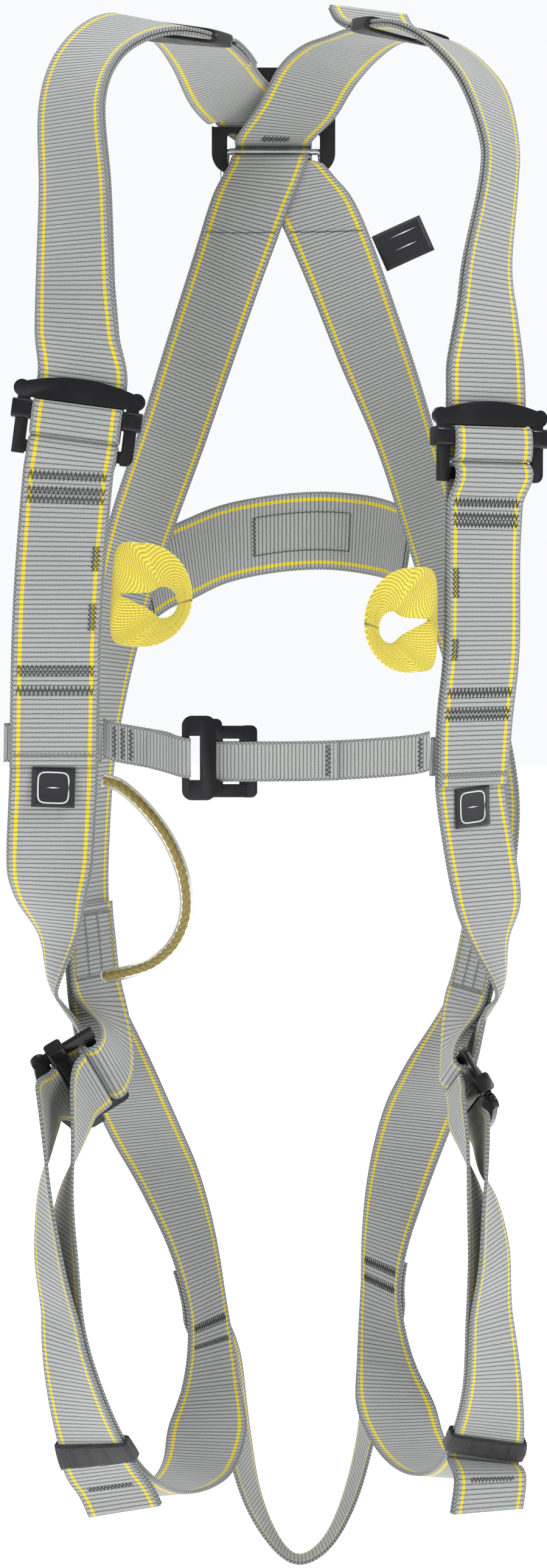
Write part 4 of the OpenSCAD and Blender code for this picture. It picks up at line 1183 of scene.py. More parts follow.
    def _chest(self) -> None:
        """Lay the chest webbing."""
        reach = WEB_W / 2 + 0.0012
        self.left_chest_loop = self._root(self.left_front_line, 15, -reach - 0.002, reach)
        self.right_chest_loop = self._root(self.right_front_line, 14, reach + 0.001, -reach)
        self.left_chest_strap = placed(LEFT_STRAP_RUN).smooth(4)
        up = (0, 0, 1)
        self.right_chest_strap = placed(RIGHT_STRAP_RUN).smooth(4).then(
            one(*at(-0.0292, -0.2546, -0.356), up), one(*at(-0.03, -0.2563, -0.356), up),
            one(*at(-0.0292, -0.258, -0.356), up), placed(RIGHT_FOLD_RUN).smooth(4))


# ---------------------------------------------------------------- pieces


class Maker:
    """What every sub-assembly shares: the frame, the routes and the finishes."""

    def __init__(self, frame: dict, routes: Routes, finishes: Finishes) -> None:
        """Keep them."""
        self.nodes: dict[str, bpy.types.Object] = frame["nodes"]
        self.routes = routes
        self.finishes = finishes

    def settle(self, obj: bpy.types.Object, body: str, slot: str, *replaced: str) -> bpy.types.Object:
        """Make a piece ride on a body and hide the CAD nodes that it replaces."""
        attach(obj, body)
        if replaced:
            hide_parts(*replaced)
        LOG.info("%s: %d vertices, on %s", obj.name, len(obj.data.vertices), body)
        return obj

    def web(self, name: str, run: Run, material: bpy.types.Material, slot: str = "webbing",
            width: float = WEB_W, thick: float = WEB_T, body: str = "webbing") -> Web:
        """Build one strap in place of its CAD node and return it for later stitching."""
        web = Web(run, width, thick)
        shape = Shape()
        web.add_to(shape)
        self.settle(shape.object(f"{name}_cloth", material), body, slot, name)
        return web


class Webs(Maker):
    """All the webbing of the harness."""

    def build(self) -> dict[str, Web]:
        """Build every strap and return them by name."""
        r, f = self.routes, self.finishes
        made: dict[str, Web] = {}
        for part in ("shoulder_strap", "shoulder_tail", "back_strap", "front_strap", "hip_strap",
                     "seat_strap", "leg_strap", "leg_tail"):
            for side in ("left", "right"):
                name = f"{side}_{part}"
                made[name] = self.web(name, getattr(r, name), f.web)
        for name in ("waist_strap", "subpelvic_strap"):
            made[name] = self.web(name, getattr(r, name), f.web)
        made["waist_patch"] = self.web("waist_patch", r.waist_patch, f.patch, width=0.025)
        for side in ("left", "right"):
            name = f"{side}_chest_loop"
            made[name] = self.web(name, getattr(r, name), f.chest, "chest_webbing", CHEST_W, CHEST_T)
            name = f"{side}_chest_strap"
            made[name] = self.web(name, getattr(r, name), f.chest, "chest_webbing", CHEST_W, CHEST_T,
                                  f"{side}_chest_half")
        return made


class Hems(Maker):
    """Second layers of webbing on the folded free ends."""

    def build(self, webs: dict[str, Web]) -> dict[str, Web]:
        """Build each second layer and return them by name."""
        made: dict[str, Web] = {}
        ends = {
            "left_shoulder_tail": (-0.030, 0.0, 1), "right_shoulder_tail": (-0.026, 0.0, 1),
            "left_leg_tail": (0.0, 0.032, 1), "right_leg_tail": (0.0, 0.030, 1),
        }
        for name, (first, last, face) in ends.items():
            web = webs[name]
            first, last = first % web.length if first < 0 else first, last or web.length
            # The leg straps' ends fold towards the viewer's side
            middle = int(np.searchsorted(web.v, (first + last) / 2))
            if "leg" in name and web.out[middle][1] > 0:
                face = -face
            made[f"{name}_fold"] = self._fold(f"{name}_fold", web, first, last, face)
        return made

    def _fold(self, name: str, web: Web, first: float, last: float, face: int) -> Web:
        """Build one more layer on a face of a strap between two places along it."""
        v = np.linspace(first, last, max(int((last - first) / 0.003), 6))
        points, _ = web.at(0.0, v, lift=WEB_T / 2 + 0.00005, face=face)
        across = np.stack([np.interp(v, web.v, web.across[:, k]) for k in range(3)], -1)
        layer = Web(Run(np.hstack([points, across])), web.width, WEB_T)
        shape = Shape()
        layer.add_to(shape)
        self.settle(shape.object(name, self.finishes.web), "webbing", "webbing")
        return layer


class Lay(Enum):
    """Which way a zigzag's thread swings."""

    ALONG = "along"
    ACROSS = "across"


@dataclass(frozen=True)
class Zigzag:
    """A bar of zigzag stitching on a strap's face.

    The needle swings between two lines `swing` apart and moves `pitch` on at each stitch.
    A row with a slant runs along the strap as it crosses it: v grows by slant * u.
    """

    u: tuple[float, float]
    v: tuple[float, float]
    lay: Lay = Lay.ALONG
    pitch: float = 0.0011
    face: int = 1
    lift: float = 0.00012
    thread: float = 0.00030
    slant: float = 0.0

    def line(self) -> tuple[Array, Array, Array]:
        """Return the thread's places across, along and above the face.

        A stitch is two points on the swing lines and one between them, which stands
        proud of the cloth by the thread's own thickness.
        """
        (u0, u1), (v0, v1) = self.u, self.v
        span = abs(u1 - u0) if self.lay is Lay.ALONG else abs(v1 - v0)
        n = max(int(span / self.pitch), 3)
        k = np.arange(2 * n + 1)
        go = k / (2 * n)
        swing = np.abs((k / 2) % 2 - 1)
        lift = self.lift + np.where(k % 2 == 1, self.thread * 0.8, -self.thread * 0.2)
        if self.lay is Lay.ALONG:
            u = u0 + (u1 - u0) * go
            return u, v0 + (v1 - v0) * swing + self.slant * u, lift
        return u0 + (u1 - u0) * swing, v0 + (v1 - v0) * go, lift


def add_thread(shape: Shape, points: Array, normals: Array, r: float, sides: int = 5) -> None:
    """Add a thread along points: a tube whose rings stand square to the line.

    Args:
        shape: What it is added to.
        points: The thread's middle, (n, 3).
        normals: The cloth's normals there.
        r: The thread's radius.
        sides: Corners of a ring.
    """
    i = np.arange(len(points))
    run = unit(points[np.minimum(i + 1, len(i) - 1)] - points[np.maximum(i - 1, 0)])
    side = unit(np.cross(run, normals))
    up = np.cross(side, run)
    g = np.linspace(0, 2 * np.pi, sides, endpoint=False)
    # The first and last rings shrink to close the ends
    size = np.where((i == 0) | (i == len(i) - 1), 0.02, 1.0)[:, None, None] * r
    rings = points[:, None] + size * (np.cos(g)[None, :, None] * side[:, None]
                                      + np.sin(g)[None, :, None] * up[:, None])
    faces = grid_faces(len(i), sides, Seams.TUBE)
    length = np.concatenate([[0], np.cumsum(np.linalg.norm(np.diff(points, axis=0), axis=1))])
    u = np.broadcast_to(g * r, rings.shape[:2])
    v = np.broadcast_to(length[:, None], rings.shape[:2])
    shape.add(rings, faces, corner_places(u, v, faces))


class Stitching(Maker):
    """Threads sewn into the webbing."""

    def sew(self, name: str, web: Web, bars: Sequence[Zigzag], body: str = "webbing",
            slot: str = "webbing", pale: bool = False) -> None:
        """Build a strap's stitching as one piece."""
        shape = Shape()
        for bar in bars:
            u, v, lift = bar.line()
            points, normals = web.at(u, v, lift, bar.face)
            add_thread(shape, points, normals, bar.thread)
        material = self.finishes.light_thread if pale else self.finishes.thread
        self.settle(shape.object(f"{name}_stitches", material), body, slot)

    @staticmethod
    def band(web: Web, top: Array, low: Array, half: float = 0.0195, gap: float = 0.0,
             **kw: object) -> list[Zigzag]:
        """Return a filled band of zigzags between two heights on a strap."""
        v0, v1 = sorted((web.near(top), web.near(low)))
        rows = max(int(round((v1 - v0) / 0.0035)), 1)
        edges = np.linspace(v0, v1, rows + 1)
        return [Zigzag((-half + gap, half - gap), (a, b), **kw) for a, b in zip(edges[:-1], edges[1:])]


class Keepers(Maker):
    """Elastic bands that hold the free ends against their straps."""

    WALL = 0.0012
    EASE = 0.0012

    def build(self) -> None:
        """Build the four keepers."""
        r = self.routes
        for name, line, i, side in (
                ("left_shoulder_keeper", r.left_shoulder_line, 31, 1),
                ("right_shoulder_keeper", r.right_shoulder_line, 31, 1),
                ("left_leg_keeper", r.left_tail_line, 25, -1),
                ("right_leg_keeper", r.right_tail_line, 24, -1)):
            self._keeper(name, line, i, side)

    def _keeper(self, name: str, line: Run, i: int, side: int) -> None:
        """Build one keeper as a torus of a flat section carried round two layers.

        Round the band, angle a gives the place (half width * c, half depth * s) of a
        superellipse of order 8. Across the band the wall is a rounded strip whose middle
        stands 0.3 mm proud, as stretched elastic does.
        """
        web = Web(line, WEB_W, WEB_T)
        centre = web.near(line.points[i])
        v = centre + np.linspace(-0.5, 0.5, 9) * 0.016
        crown = 0.0003 * (1 - (np.linspace(-1, 1, 9)) ** 2)
        a = np.linspace(0, 2 * np.pi, 72, endpoint=False)
        order = 2 / 8
        c = np.sign(np.cos(a)) * np.abs(np.cos(a)) ** order
        s = np.sign(np.sin(a)) * np.abs(np.sin(a)) ** order
        half_w = WEB_W / 2 + self.EASE * 0.6
        half_d = (2 * WEB_T + LAYER_GAP) / 2 + self.EASE * 0.5
        shift = side * PITCH / 2 - WEB_T / 2
        shell: list[Array] = []
        # Outside from one edge to the other, then the inside back again
        wall = np.concatenate([crown + self.WALL, crown[::-1]])
        along = np.concatenate([v, v[::-1]])
        for place, extra in zip(along, wall):
            points, _ = web.at(c * (half_w + extra), np.full_like(a, place),
                               shift + s * (half_d + extra))
            shell.append(points)
        points = np.stack(shell)
        faces = grid_faces(len(wall), len(a), Seams.TORUS)
        arc = np.broadcast_to((a * 0.016)[None, :], points.shape[:2])
        across = np.broadcast_to(np.concatenate([v, v[::-1]])[:, None] - centre, points.shape[:2])
        shape = Shape()
        shape.add(points, faces, corner_places(across, arc, faces))
        obj = shape.object(f"{name}_band", self.finishes.elastic)
        outward(obj)
        self.settle(obj, "webbing", "elastic_black", name)


def outward(obj: bpy.types.Object) -> None:
    """Turn a closed mesh's faces outwards."""
    work = bmesh.new()
    work.from_mesh(obj.data)
    bmesh.ops.recalc_face_normals(work, faces=work.faces)
    work.to_mesh(obj.data)
    work.free()


class HardParts(Maker):
    """Buckles, plate and ring."""

    def build(self) -> None:
        """Build every hard piece."""
        f = self.finishes
        for side in ("left", "right"):
            for place in ("shoulder", "leg"):
                self._softened(f"{side}_{place}_frame", "webbing", "buckle_black", f.black, 0.0009)
                self._softened(f"{side}_{place}_slide_bar", f"{side}_{place}_bar", "buckle_black",
                               f.black, 0.0005)
        self._softened("chest_hook", "left_chest_half", "buckle_black", f.black, 0.0006)
        self._softened("chest_catch", "right_chest_half", "buckle_black", f.black, 0.0005)
        self._softened("dorsal_plate", "webbing", "plate_black", f.moulded, 0.0006)
        self._ring()

    def _softened(self, node: str, body: str, slot: str, material: bpy.types.Material, edge: float) -> None:
        """Stand a copy of a CAD node with rounded edges in its place.

        Args:
            node: The CAD node.
            body: What the copy rides on.
            slot: Its material slot; not used.
            material: Its finish.
            edge: Radius of the rounded edges.
        """
        mesh = bpy.data.meshes.new(f"{node}_soft")
        work = bmesh.new()
        work.from_mesh(self.nodes[node].data)
        bmesh.ops.remove_doubles(work, verts=work.verts, dist=0.00001)
        bmesh.ops.dissolve_limit(work, angle_limit=math.radians(1.0), verts=work.verts, edges=work.edges)
        bmesh.ops.recalc_face_normals(work, faces=work.faces)
        work.to_mesh(mesh)
        work.free()
        mesh.materials.clear()
        mesh.materials.append(material)
        for polygon in mesh.polygons:
            polygon.use_smooth = True
        obj = bpy.data.objects.new(f"{node}_body", mesh)
        bpy.context.scene.collection.objects.link(obj)
        bevel = obj.modifiers.new("edges", "BEVEL")
        bevel.width, bevel.segments = edge, 3
        bevel.limit_method, bevel.angle_limit = "ANGLE", math.radians(32)
        bevel.use_clamp_overlap = True
        bevel.harden_normals = True
        self.settle(obj, body, slot, node)

    def _ring(self) -> None:
        """Build the D-ring: a round bar carried round a straight, two sides and a half circle."""
        rod, side, half = RING_BAR / 2, RING_SIDE, RING_HALF
        corner = 0.0034
        g = np.radians(np.linspace(0, 180, 73))
        bow = np.stack([half * np.cos(g), np.zeros_like(g), RING_REACH - side - half * np.sin(g)], -1)
        h = np.radians(np.linspace(0, 90, 9))
        left = np.stack([-half + corner - corner * np.cos(h), 0 * h,
                         RING_REACH - corner + corner * np.sin(h)], -1)
        right = left[::-1] * (-1, 1, 1)
        rise = np.linspace(0, 1, 8)[1:-1, None]
        up = bow[-1] + (left[0] - bow[-1]) * rise
        top = left[-1] + (right[0] - left[-1]) * np.linspace(0, 1, 24)[1:-1, None]
        down = right[-1] + (bow[0] - right[-1]) * rise
        path = np.vstack([bow, up, left, top, right, down])
        run = unit(np.roll(path, -1, 0) - np.roll(path, 1, 0))
        through = np.array([0.0, 1.0, 0.0])
        side_way = np.cross(run, through)
        a = np.linspace(0, 2 * np.pi, 28, endpoint=False)
        points = path[:, None] + rod * (np.cos(a)[None, :, None] * side_way[:, None]
                                        + np.sin(a)[None, :, None] * through)
        faces = grid_faces(len(path), len(a), Seams.TORUS)
        shape = Shape()
        shape.add(points, faces)
        obj = shape.object("dorsal_d_ring_bar", self.finishes.steel)
        outward(obj)
        self.settle(obj, "dorsal_ring", "ring_steel", "dorsal_d_ring")


class FrontLoops(Maker):
    """Folded textile sleeves with an eye, sewn to the front straps' inner edges."""

    HALF_H = 0.026
    REACH = 0.042
    EYE = (0.027, -0.003)
    EYE_R = 0.0078

    def build(self) -> None:
        """Build both loops."""
        self._loop("left", at(-0.0816, -0.246, -0.272), axes((0.06, -0.05, 1), (1, -0.2, 0)), 1)
        self._loop("right", at(0.0813, -0.258, -0.285), axes((0, -0.08, 1), (0.86, 0.5, 0)), -1)

    def _loop(self, side: str, place: Array, frame: Array, way: int) -> None:
        """Build one loop as a flattened torus between its eye and its outline.

        Round the eye, angle a gives the eye's edge (a circle drawn out to a slit towards
        the root) and the outline (straight at the root, round at the end). Round the
        section, angle b goes from the eye to the outline by (1 - cos b) / 2, with the
        height 2.6 mm * |sin b| ^ 0.6, so that the sleeve is plump and its folds are round.
        """
        a = np.linspace(0, 2 * np.pi, 120, endpoint=False)
        b = np.linspace(0, 2 * np.pi, 44, endpoint=False)
        eye_x, eye_z = self.EYE
        slit = np.clip(-np.cos(a), 0, 1) ** 6 * 0.017
        r = self.EYE_R - np.clip(-np.cos(a), 0, 1) ** 2 * 0.003
        inner = np.stack([eye_x + r * np.cos(a) - slit, eye_z + r * np.sin(a) + slit * 0.15], -1)
        middle = self.REACH - self.HALF_H
        far = self.HALF_H
        cos_a, sin_a = np.cos(a), np.sin(a)
        outer_x = np.where(cos_a > 0, middle + far * cos_a, middle + (middle - 0.0006) * np.sign(cos_a)
                           * np.abs(cos_a) ** 0.35)
        outer_z = np.where(cos_a > 0, far * sin_a, far * np.sign(sin_a) * np.abs(sin_a) ** 0.35)
        outer = np.stack([outer_x, outer_z], -1)
        share = (1 - np.cos(b)) / 2
        height = 0.0026 * np.sign(np.sin(b)) * np.abs(np.sin(b)) ** 0.6
        flat = inner[None] * (1 - share[:, None, None]) + outer[None] * share[:, None, None]
        # The sleeve's two folded layers dip where they meet between the eye and the end
        dip = 1 - 0.22 * np.exp(-((share[:, None] - 0.52) / 0.07) ** 2) * (cos_a[None] > -0.3)
        local = np.stack([way * flat[..., 0], height[:, None] * dip, flat[..., 1]], -1)
        points = place + local @ frame
        faces = grid_faces(len(b), len(a), Seams.TORUS)
        # The weave follows the sleeve: round the eye and out from it
        u = np.broadcast_to(share[:, None] * 0.022, points.shape[:2])
        v = np.broadcast_to(a[None] * 0.018, points.shape[:2])
        shape = Shape()
        shape.add(points, faces, corner_places(u, v, faces))
        obj = shape.object(f"{side}_front_loop_sleeve", self.finishes.yellow)
        outward(obj)
        self.settle(obj, f"{side}_loop", "loop_yellow", f"{side}_front_loop")


class GearLoop(Maker):
    """A clear tube with a twisted cord in it, sewn at both ends to the hip strap."""

    TUBE_R = 0.0035
    WALL = 0.0007
    STRAND_R = 0.00115
    LAY = 0.013

    def build(self) -> bpy.types.Object:
        """Build the cord and then the tube, which takes the place of the CAD tube."""
        rows = np.array(GEAR_LOOP_RUN, float)
        rows[:, 3:] = (0, 0, 1)
        run = placed(rows).smooth(12)
        path = run.points
        gap = np.linalg.norm(np.diff(path, axis=0), axis=1)
        length = np.concatenate([[0], np.cumsum(gap)])
        side = unit(np.cross(run.headings, (0.3, 1.0, 0.1)))
        up = np.cross(run.headings, side)
        shape = Shape()
        for k in range(3):
            turn = 2 * np.pi * (length / self.LAY + k / 3)
            offset = self.STRAND_R * 1.05 * (np.cos(turn)[:, None] * side + np.sin(turn)[:, None] * up)
            add_thread(shape, path + offset, offset, self.STRAND_R, 10)
        core = self.settle(shape.object("gear_loop_cord", self.finishes.cord), "gear_loop", "tube_clear")
        a = np.linspace(0, 2 * np.pi, 20, endpoint=False)
        rings = [path[:, None] + r * (np.cos(a)[None, :, None] * side[:, None]
                                      + np.sin(a)[None, :, None] * up[:, None])
                 for r in (self.TUBE_R, self.TUBE_R - self.WALL)]
        points = np.concatenate([rings[0], rings[1][::-1]])
        shape = Shape()
        shape.add(points, grid_faces(len(points), len(a), Seams.TORUS))
        tube = shape.object("gear_loop_sleeve", self.finishes.tube)
        outward(tube)
        self.settle(tube, "gear_loop", "tube_clear", "gear_loop_tube")
        return tube


class Labels(Maker):
    """Three small fabric tags with a plain mark."""

    THICK = 0.0007

    def build(self) -> None:
        """Build the two size tags and the back tab."""
        r = self.routes
        for side, line, body in (("left", r.left_front_line, "left_size_label"),
                                 ("right", r.right_front_line, "right_size_label")):
            i = self.hem(line)
            heading, facing = line.headings[i], line.facings[i]
            place = line.points[i] - facing * (PITCH - WEB_T / 2 - 0.0008) + heading * 0.0014
            frame = axes(-heading - 0.1 * facing, line.widths[i])
            self._tag(f"{side}_label", place, frame, 0.022, 0.020, body, "hung",
                      f"{side}_front_strap_cloth")
        self._tag("tab_label", at(0.061, -0.029, -0.076), axes((-0.9, 0.05, -0.4), (0.3, -0.1, -0.95)),
                  0.022, 0.030, "back_tab", "stretched", "right_back_strap_cloth", bars=True)

    @staticmethod
    def hem(line: Run) -> int:
        """Return the number of a front strap's last station."""
        return len(line) - 1

    def _tag(self, name: str, place: Array, frame: Array, w: float, h: float, body: str, held: str,
             rests: str, bars: bool = False) -> None:
        """Build one tag: a thin closed sheet with a slight curl, and its mark.

        Its face is (x, curl, -z) with curl = 0.35 mm * sin(pi z / h), x from -w / 2 to w / 2
        and z from 0 to h.
        """
        x, z = np.linspace(-w / 2, w / 2, 9), np.linspace(0, h, 11)
        zz, xx = np.meshgrid(z, x, indexing="ij")
        curl = 0.00035 * np.sin(np.pi * zz / h)
        top = np.stack([xx, curl - self.THICK / 2, -zz], -1)
        low = np.stack([xx[:, ::-1], curl + self.THICK / 2, -zz], -1)
        points = np.concatenate([top, low], 1)
        rows, cols = points.shape[:2]
        faces = grid_faces(rows, cols, Seams.TUBE)
        m = len(x)
        j = np.arange(m - 1)
        end = np.stack([j, j + 1, 2 * m - 2 - j, 2 * m - 1 - j], -1)
        faces = np.vstack([faces, end[:, ::-1], end + (rows - 1) * cols])
        u = np.broadcast_to(np.concatenate([x, x[::-1]])[None], (rows, cols))
        v = np.broadcast_to(z[:, None], (rows, cols))
        shape = Shape()
        shape.add(place + points @ frame, faces, corner_places(u, v, faces))
        tag = shape.object(f"{name}_cloth", self.finishes.label)
        outward(tag)
        self.settle(tag, body, "label_black", name)
        mark = self._mark(name, place, frame, w, h, bars)
        self.settle(mark, body, "label_black")

    def _mark(self, name: str, place: Array, frame: Array, w: float, h: float,
              bars: bool) -> bpy.types.Object:
        """Build the tag's plain mark: a rounded square outline and a short bar in it, or two plain bars.

        The outline's middle is a superellipse of order 5, |x|^5 + |z|^5 = size^5.
        """
        size = 0.39 * min(w, h)
        a = np.linspace(0, 2 * np.pi, 65)
        c = size * np.sign(np.cos(a)) * np.abs(np.cos(a)) ** 0.4
        s = size * np.sign(np.sin(a)) * np.abs(np.sin(a)) ** 0.4
        shape = Shape()
        lines = [np.stack([c, s], -1), np.array([[-0.45 * size, 0.0], [0.0, 0.0], [0.45 * size, 0.0]])]
        if bars:
            lines = [np.array([[x * w, -0.2 * h], [x * w, 0.1 * h], [x * w, end * h]])
                     for x, end in ((-0.25, 0.35), (0.1, 0.25))]
        out = 1 if frame[1] @ VIEW > 0 else -1
        for line in lines:
            z = h / 2 + line[:, 1]
            curl = 0.00035 * np.sin(np.pi * z / h)
            local = np.stack([line[:, 0], curl + out * self.THICK / 2, -z], -1)
            points = place + local @ frame
            normals = np.tile(out * frame[1], (len(points), 1))
            add_thread(shape, points, normals, 0.0004, 6)
        return shape.object(f"{name}_mark", self.finishes.mark)


class Seamwork(Stitching):
    """Where each strap is sewn."""

    def build(self, webs: dict[str, Web], folds: dict[str, Web]) -> None:
        """Sew every strap."""
        self._fronts(webs)
        self._waist(webs)
        self._seat(webs)
        self._chest(webs)
        self._ends(webs, folds)
        self._backs(webs)

    def _fronts(self, webs: dict[str, Web]) -> None:
        """Sew the bands, the inner bartacks and the hems of the front straps."""
        web = webs["left_front_strap"]
        bars: list[Zigzag] = []
        for top, low in ((-0.209, -0.216), (-0.220, -0.227), (-0.308, -0.314), (-0.319, -0.325)):
            bars += self.band(web, at(-0.105, -0.249, top), at(-0.107, -0.249, low))
        for top, low in ((-0.248, -0.261), (-0.277, -0.291)):
            v0, v1 = web.near(at(-0.106, -0.249, top)), web.near(at(-0.108, -0.248, low))
            for edge in (0.0165, 0.0185):
                bars.append(Zigzag((edge - 0.0009, edge + 0.0009), (v0, v1), Lay.ACROSS))
        self.sew("left_front_strap", web, bars)
        web = webs["right_front_strap"]
        bars = []
        for top, low in ((-0.224, -0.230), (-0.233, -0.239), (-0.320, -0.326), (-0.330, -0.336)):
            bars += self.band(web, at(0.105, -0.249, top), at(0.104, -0.246, low))
        for top, low in ((-0.261, -0.274), (-0.294, -0.306)):
            v0, v1 = web.near(at(0.105, -0.249, top)), web.near(at(0.105, -0.246, low))
            for edge in (-0.0165, -0.0185):
                bars.append(Zigzag((edge - 0.0009, edge + 0.0009), (v0, v1), Lay.ACROSS))
        self.sew("right_front_strap", web, bars)
        for side in ("left", "right"):
            web = webs[f"{side}_front_strap"]
            last = web.length
            hem = Zigzag((-0.021, 0.021), (last - 0.0065, last - 0.0045))
            self.sew(f"{side}_front_hem", web, [hem], pale=True)

    def _waist(self, webs: dict[str, Web]) -> None:
        """Sew the patch: an outlined box with a dark bar at its left."""
        web = webs["waist_strap"]
        first, last = web.near(at(-0.013, -0.041, -0.238)), web.near(at(0.044, -0.044, -0.237))
        thin = 0.00024
        bars = [Zigzag((-0.0112, -0.0106), (first, last), Lay.ACROSS, 0.0016, thread=thin),
                Zigzag((0.0106, 0.0112), (first, last), Lay.ACROSS, 0.0016, thread=thin),
                Zigzag((-0.0110, 0.0110), (last - 0.0006, last), pitch=0.0016, thread=thin),
                Zigzag((-0.0110, 0.0110), (first, first + 0.0022))]
        bars += [Zigzag((-0.0195, 0.0195), (a, a + 0.002), face=face)
                 for a in (0.001, web.length - 0.003) for face in (-1, 1)]
        self.sew("waist_strap", web, bars)

    def _seat(self, webs: dict[str, Web]) -> None:
        """Sew the bartack pairs of the seat straps and the ends of the strap below."""
        for side, x, y, heights in (("left", -0.038, -0.068, ((-0.690, -0.694), (-0.701, -0.705))),
                                    ("right", 0.062, -0.066, ((-0.657, -0.661), (-0.667, -0.671)))):
            web = webs[f"{side}_seat_strap"]
            bars: list[Zigzag] = []
            for top, low in heights:
                for face in (-1, 1):
                    bars += self.band(web, at(x, y, top), at(x, y, low), half=0.0175, face=face,
                                      thread=0.00026)
            self.sew(f"{side}_seat_strap", web, bars)
        web = webs["subpelvic_strap"]
        bars = [Zigzag((-0.0195, 0.0195), (a, a + 0.0035), face=face)
                for a in (0.003, 0.009, web.length - 0.013, web.length - 0.007) for face in (-1, 1)]
        self.sew("subpelvic_strap", web, bars)

    def _chest(self, webs: dict[str, Web]) -> None:
        """Sew the chest strap's roots and folds."""
        web = webs["left_chest_strap"]
        bars = [Zigzag((-0.008, 0.008), (a, a + 0.0025), face=face)
                for a in (0.006, 0.011, 0.016) for face in (-1, 1)]
        bars += [Zigzag((-0.008, 0.008), (web.length - 0.006, web.length - 0.0035), face=1)]
        self.sew("left_chest_strap", web, bars, "left_chest_half", "chest_webbing")
        web = webs["right_chest_strap"]
        bars = [Zigzag((-0.008, 0.008), (a, a + 0.0025), face=1)
                for a in (web.length - 0.006,)]
        bars += [Zigzag((-0.008, 0.008), (a, a + 0.0025), face=-1) for a in (0.004,)]
        self.sew("right_chest_strap", web, bars, "right_chest_half", "chest_webbing")

    def _ends(self, webs: dict[str, Web], folds: dict[str, Web]) -> None:
        """Sew the folded free ends."""
        for name, web in folds.items():
            middle = web.length / 2
            lines = [Zigzag((-0.014, 0.014), (middle - 0.0012, middle + 0.0012), face=face, thread=0.00026)
                     for face in (-1, 1)]
            self.sew(name, web, lines)

    def _backs(self, webs: dict[str, Web]) -> None:
        """Sew the rows across the back straps and the hip straps' ends."""
        for side, x, y in (("left", -0.019, -0.020), ("right", 0.030, -0.018)):
            web = webs[f"{side}_back_strap"]
            row = web.near(at(x, y, -0.062))
            lean = -0.33 if side == "left" else 0.33
            bars = [Zigzag((-0.0205, 0.0205), (row, row + 0.0004), pitch=0.0019, face=face, thread=0.00024,
                           slant=lean) for face in (-1, 1)]
            self.sew(f"{side}_back_strap", web, bars)
        for side in ("left", "right"):
            web = webs[f"{side}_hip_strap"]
            last = web.length
            bars = [Zigzag((-0.019, 0.019), (last - a, last - a + 0.0022), face=face, thread=0.00022)
                    for a in (0.006, 0.040) for face in (-1, 1)]
            bars += [Zigzag((s - 0.0011, s + 0.0011), (last - 0.038, last - 0.005), Lay.ACROSS,
                            face=face, thread=0.00022)
                     for s in (-0.018, -0.006, 0.006, 0.018) for face in (-1, 1)]
            self.sew(f"{side}_hip_strap", web, bars, pale=True)
        web = webs["right_shoulder_strap"]
        tack = web.near(at(-0.004, -0.014, 0.002))
        self.sew("right_shoulder_strap", web, [Zigzag((-0.008, 0.008), (tack, tack + 0.003)),
                                               Zigzag((-0.008, 0.008), (tack + 0.002, tack + 0.005))])


# ---------------------------------------------------------------- studio


@dataclass(frozen=True)
class Lamp:
    """A round soft light."""

    name: str
    place: tuple[float, float, float]
    aim: tuple[float, float, float]
    size: float
    power: float


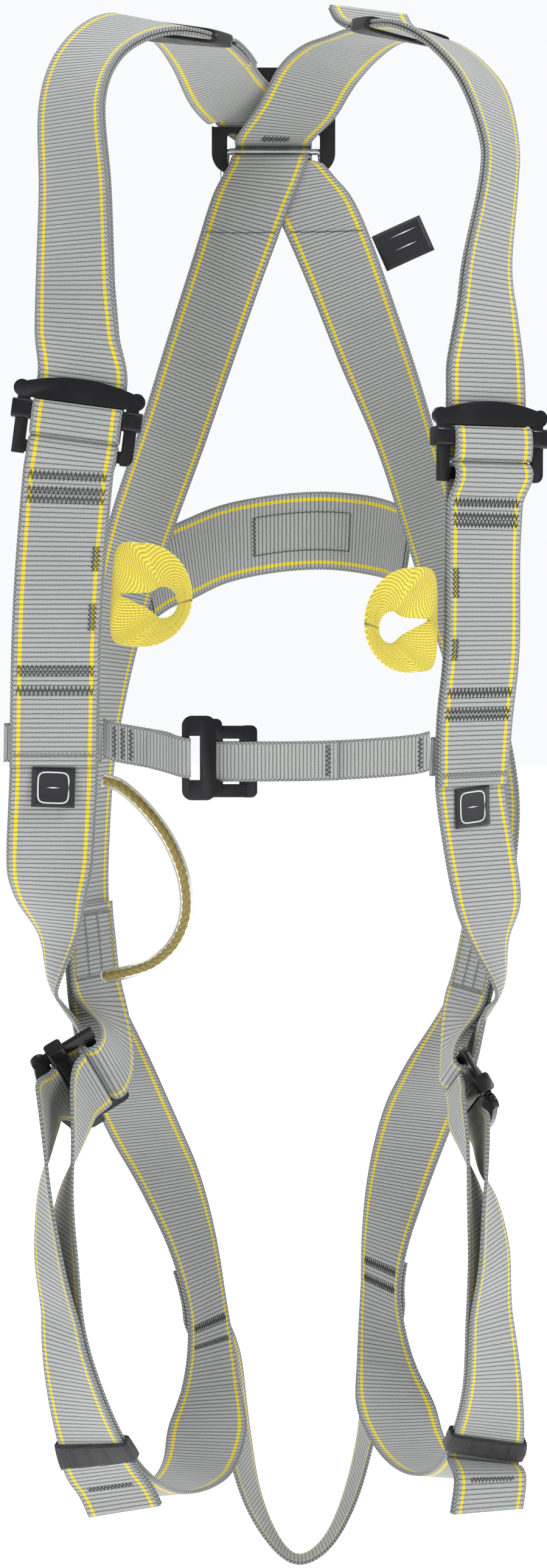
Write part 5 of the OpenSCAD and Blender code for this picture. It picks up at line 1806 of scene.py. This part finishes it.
@dataclass
class Studio:
    """Camera, floor and soft lights."""

    eye: tuple[float, float, float] = (0.0, -1.590, -0.2271)
    fall: float = math.atan2(288, 4400)
    lens: float = 4400 / 2576 * 36
    floor_drop: float = 0.06
    ambient: float = 0.48
    lights: Sequence[Lamp] = (
        Lamp("key", (1.5, -1.5, 1.5), (0.0, -0.1, -0.3), 0.9, 37.0),
        Lamp("fill", (-1.9, -1.3, 0.2), (0.0, -0.1, -0.4), 1.4, 12.0),
        Lamp("top", (0.0, 0.3, 1.7), (0.0, 0.0, -0.3), 1.2, 20.0),
        Lamp("back", (-0.8, 1.9, 0.6), (0.0, 0.0, -0.3), 1.2, 16.0))

    def camera(self) -> None:
        """Create the camera and make it the scene's."""
        data = bpy.data.cameras.new("view")
        data.sensor_fit, data.sensor_height, data.sensor_width = "VERTICAL", 36.0, 36.0
        data.lens = self.lens
        data.clip_start, data.clip_end = 0.05, 60.0
        obj = bpy.data.objects.new("view", data)
        obj.location = self.eye
        obj.rotation_euler = (math.pi / 2 - self.fall, 0.0, 0.0)
        bpy.context.scene.collection.objects.link(obj)
        bpy.context.scene.camera = obj

    def light(self, low: float) -> None:
        """Lay the floor below the harness and hang the lights.

        Args:
            low: Height of the harness's lowest point.
        """
        size, n = 9.0, 3
        x = np.linspace(-size, size, n)
        xx, yy = np.meshgrid(x, x)
        points = np.stack([xx, yy, np.full_like(xx, low - self.floor_drop)], -1)
        shape = Shape()
        shape.add(points, grid_faces(n, n, Seams.OPEN))
        material, tree, shader = start_material("pale_floor", 0.9, Emission_Strength=0.62)
        shader.inputs["Emission Color"].default_value = (1.0, 1.0, 1.0, 1.0)
        cloud = tree.noise(tree.node("ShaderNodeTexCoord").outputs["Object"], 3.0)
        tree.link(tree.mix(cloud, (0.86, 0.86, 0.86, 1), (0.90, 0.90, 0.90, 1)), shader.inputs["Base Color"])
        floor = shape.object("floor", material)
        floor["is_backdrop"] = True
        for lamp in self.lights:
            data = bpy.data.lights.new(lamp.name, "AREA")
            data.shape, data.size, data.energy = "DISK", lamp.size, lamp.power
            light = bpy.data.objects.new(lamp.name, data)
            light.location = lamp.place
            way = np.array(lamp.aim) - np.array(lamp.place)
            flat = math.hypot(way[0], way[1])
            light.rotation_euler = (math.atan2(flat, -way[2]), 0.0, math.atan2(-way[0], way[1]))
            bpy.context.scene.collection.objects.link(light)
        world = bpy.data.worlds.new("soft_white")
        world.use_nodes = True
        tree = world.node_tree
        back = tree.nodes["Background"]
        back.inputs["Color"].default_value = (0.95, 0.96, 0.97, 1.0)
        sight = tree.nodes.new("ShaderNodeLightPath")
        level = tree.nodes.new("ShaderNodeMath")
        level.operation = "MULTIPLY_ADD"
        level.inputs[1].default_value, level.inputs[2].default_value = 1 - self.ambient, self.ambient
        tree.links.new(sight.outputs["Is Camera Ray"], level.inputs[0])
        tree.links.new(level.outputs[0], back.inputs["Strength"])
        bpy.context.scene.world = world
        bpy.context.scene.view_settings.view_transform = "Standard"


def main() -> None:
    """Build the harness round its frame."""
    logging.basicConfig(level=logging.INFO, format="%(name)s: %(message)s")
    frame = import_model()
    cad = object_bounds()
    studio = Studio()
    studio.camera()
    routes, finishes = Routes(), Finishes()
    shared = (frame, routes, finishes)
    GearLoop(*shared).build()
    webs = Webs(*shared).build()
    folds = Hems(*shared).build(webs)
    Keepers(*shared).build()
    HardParts(*shared).build()
    FrontLoops(*shared).build()
    Labels(*shared).build()
    Seamwork(*shared).build(webs, folds)
    studio.light(float(cad[0][2]))
    bpy.context.view_layer.update()


if __name__ == "__main__":
    main()
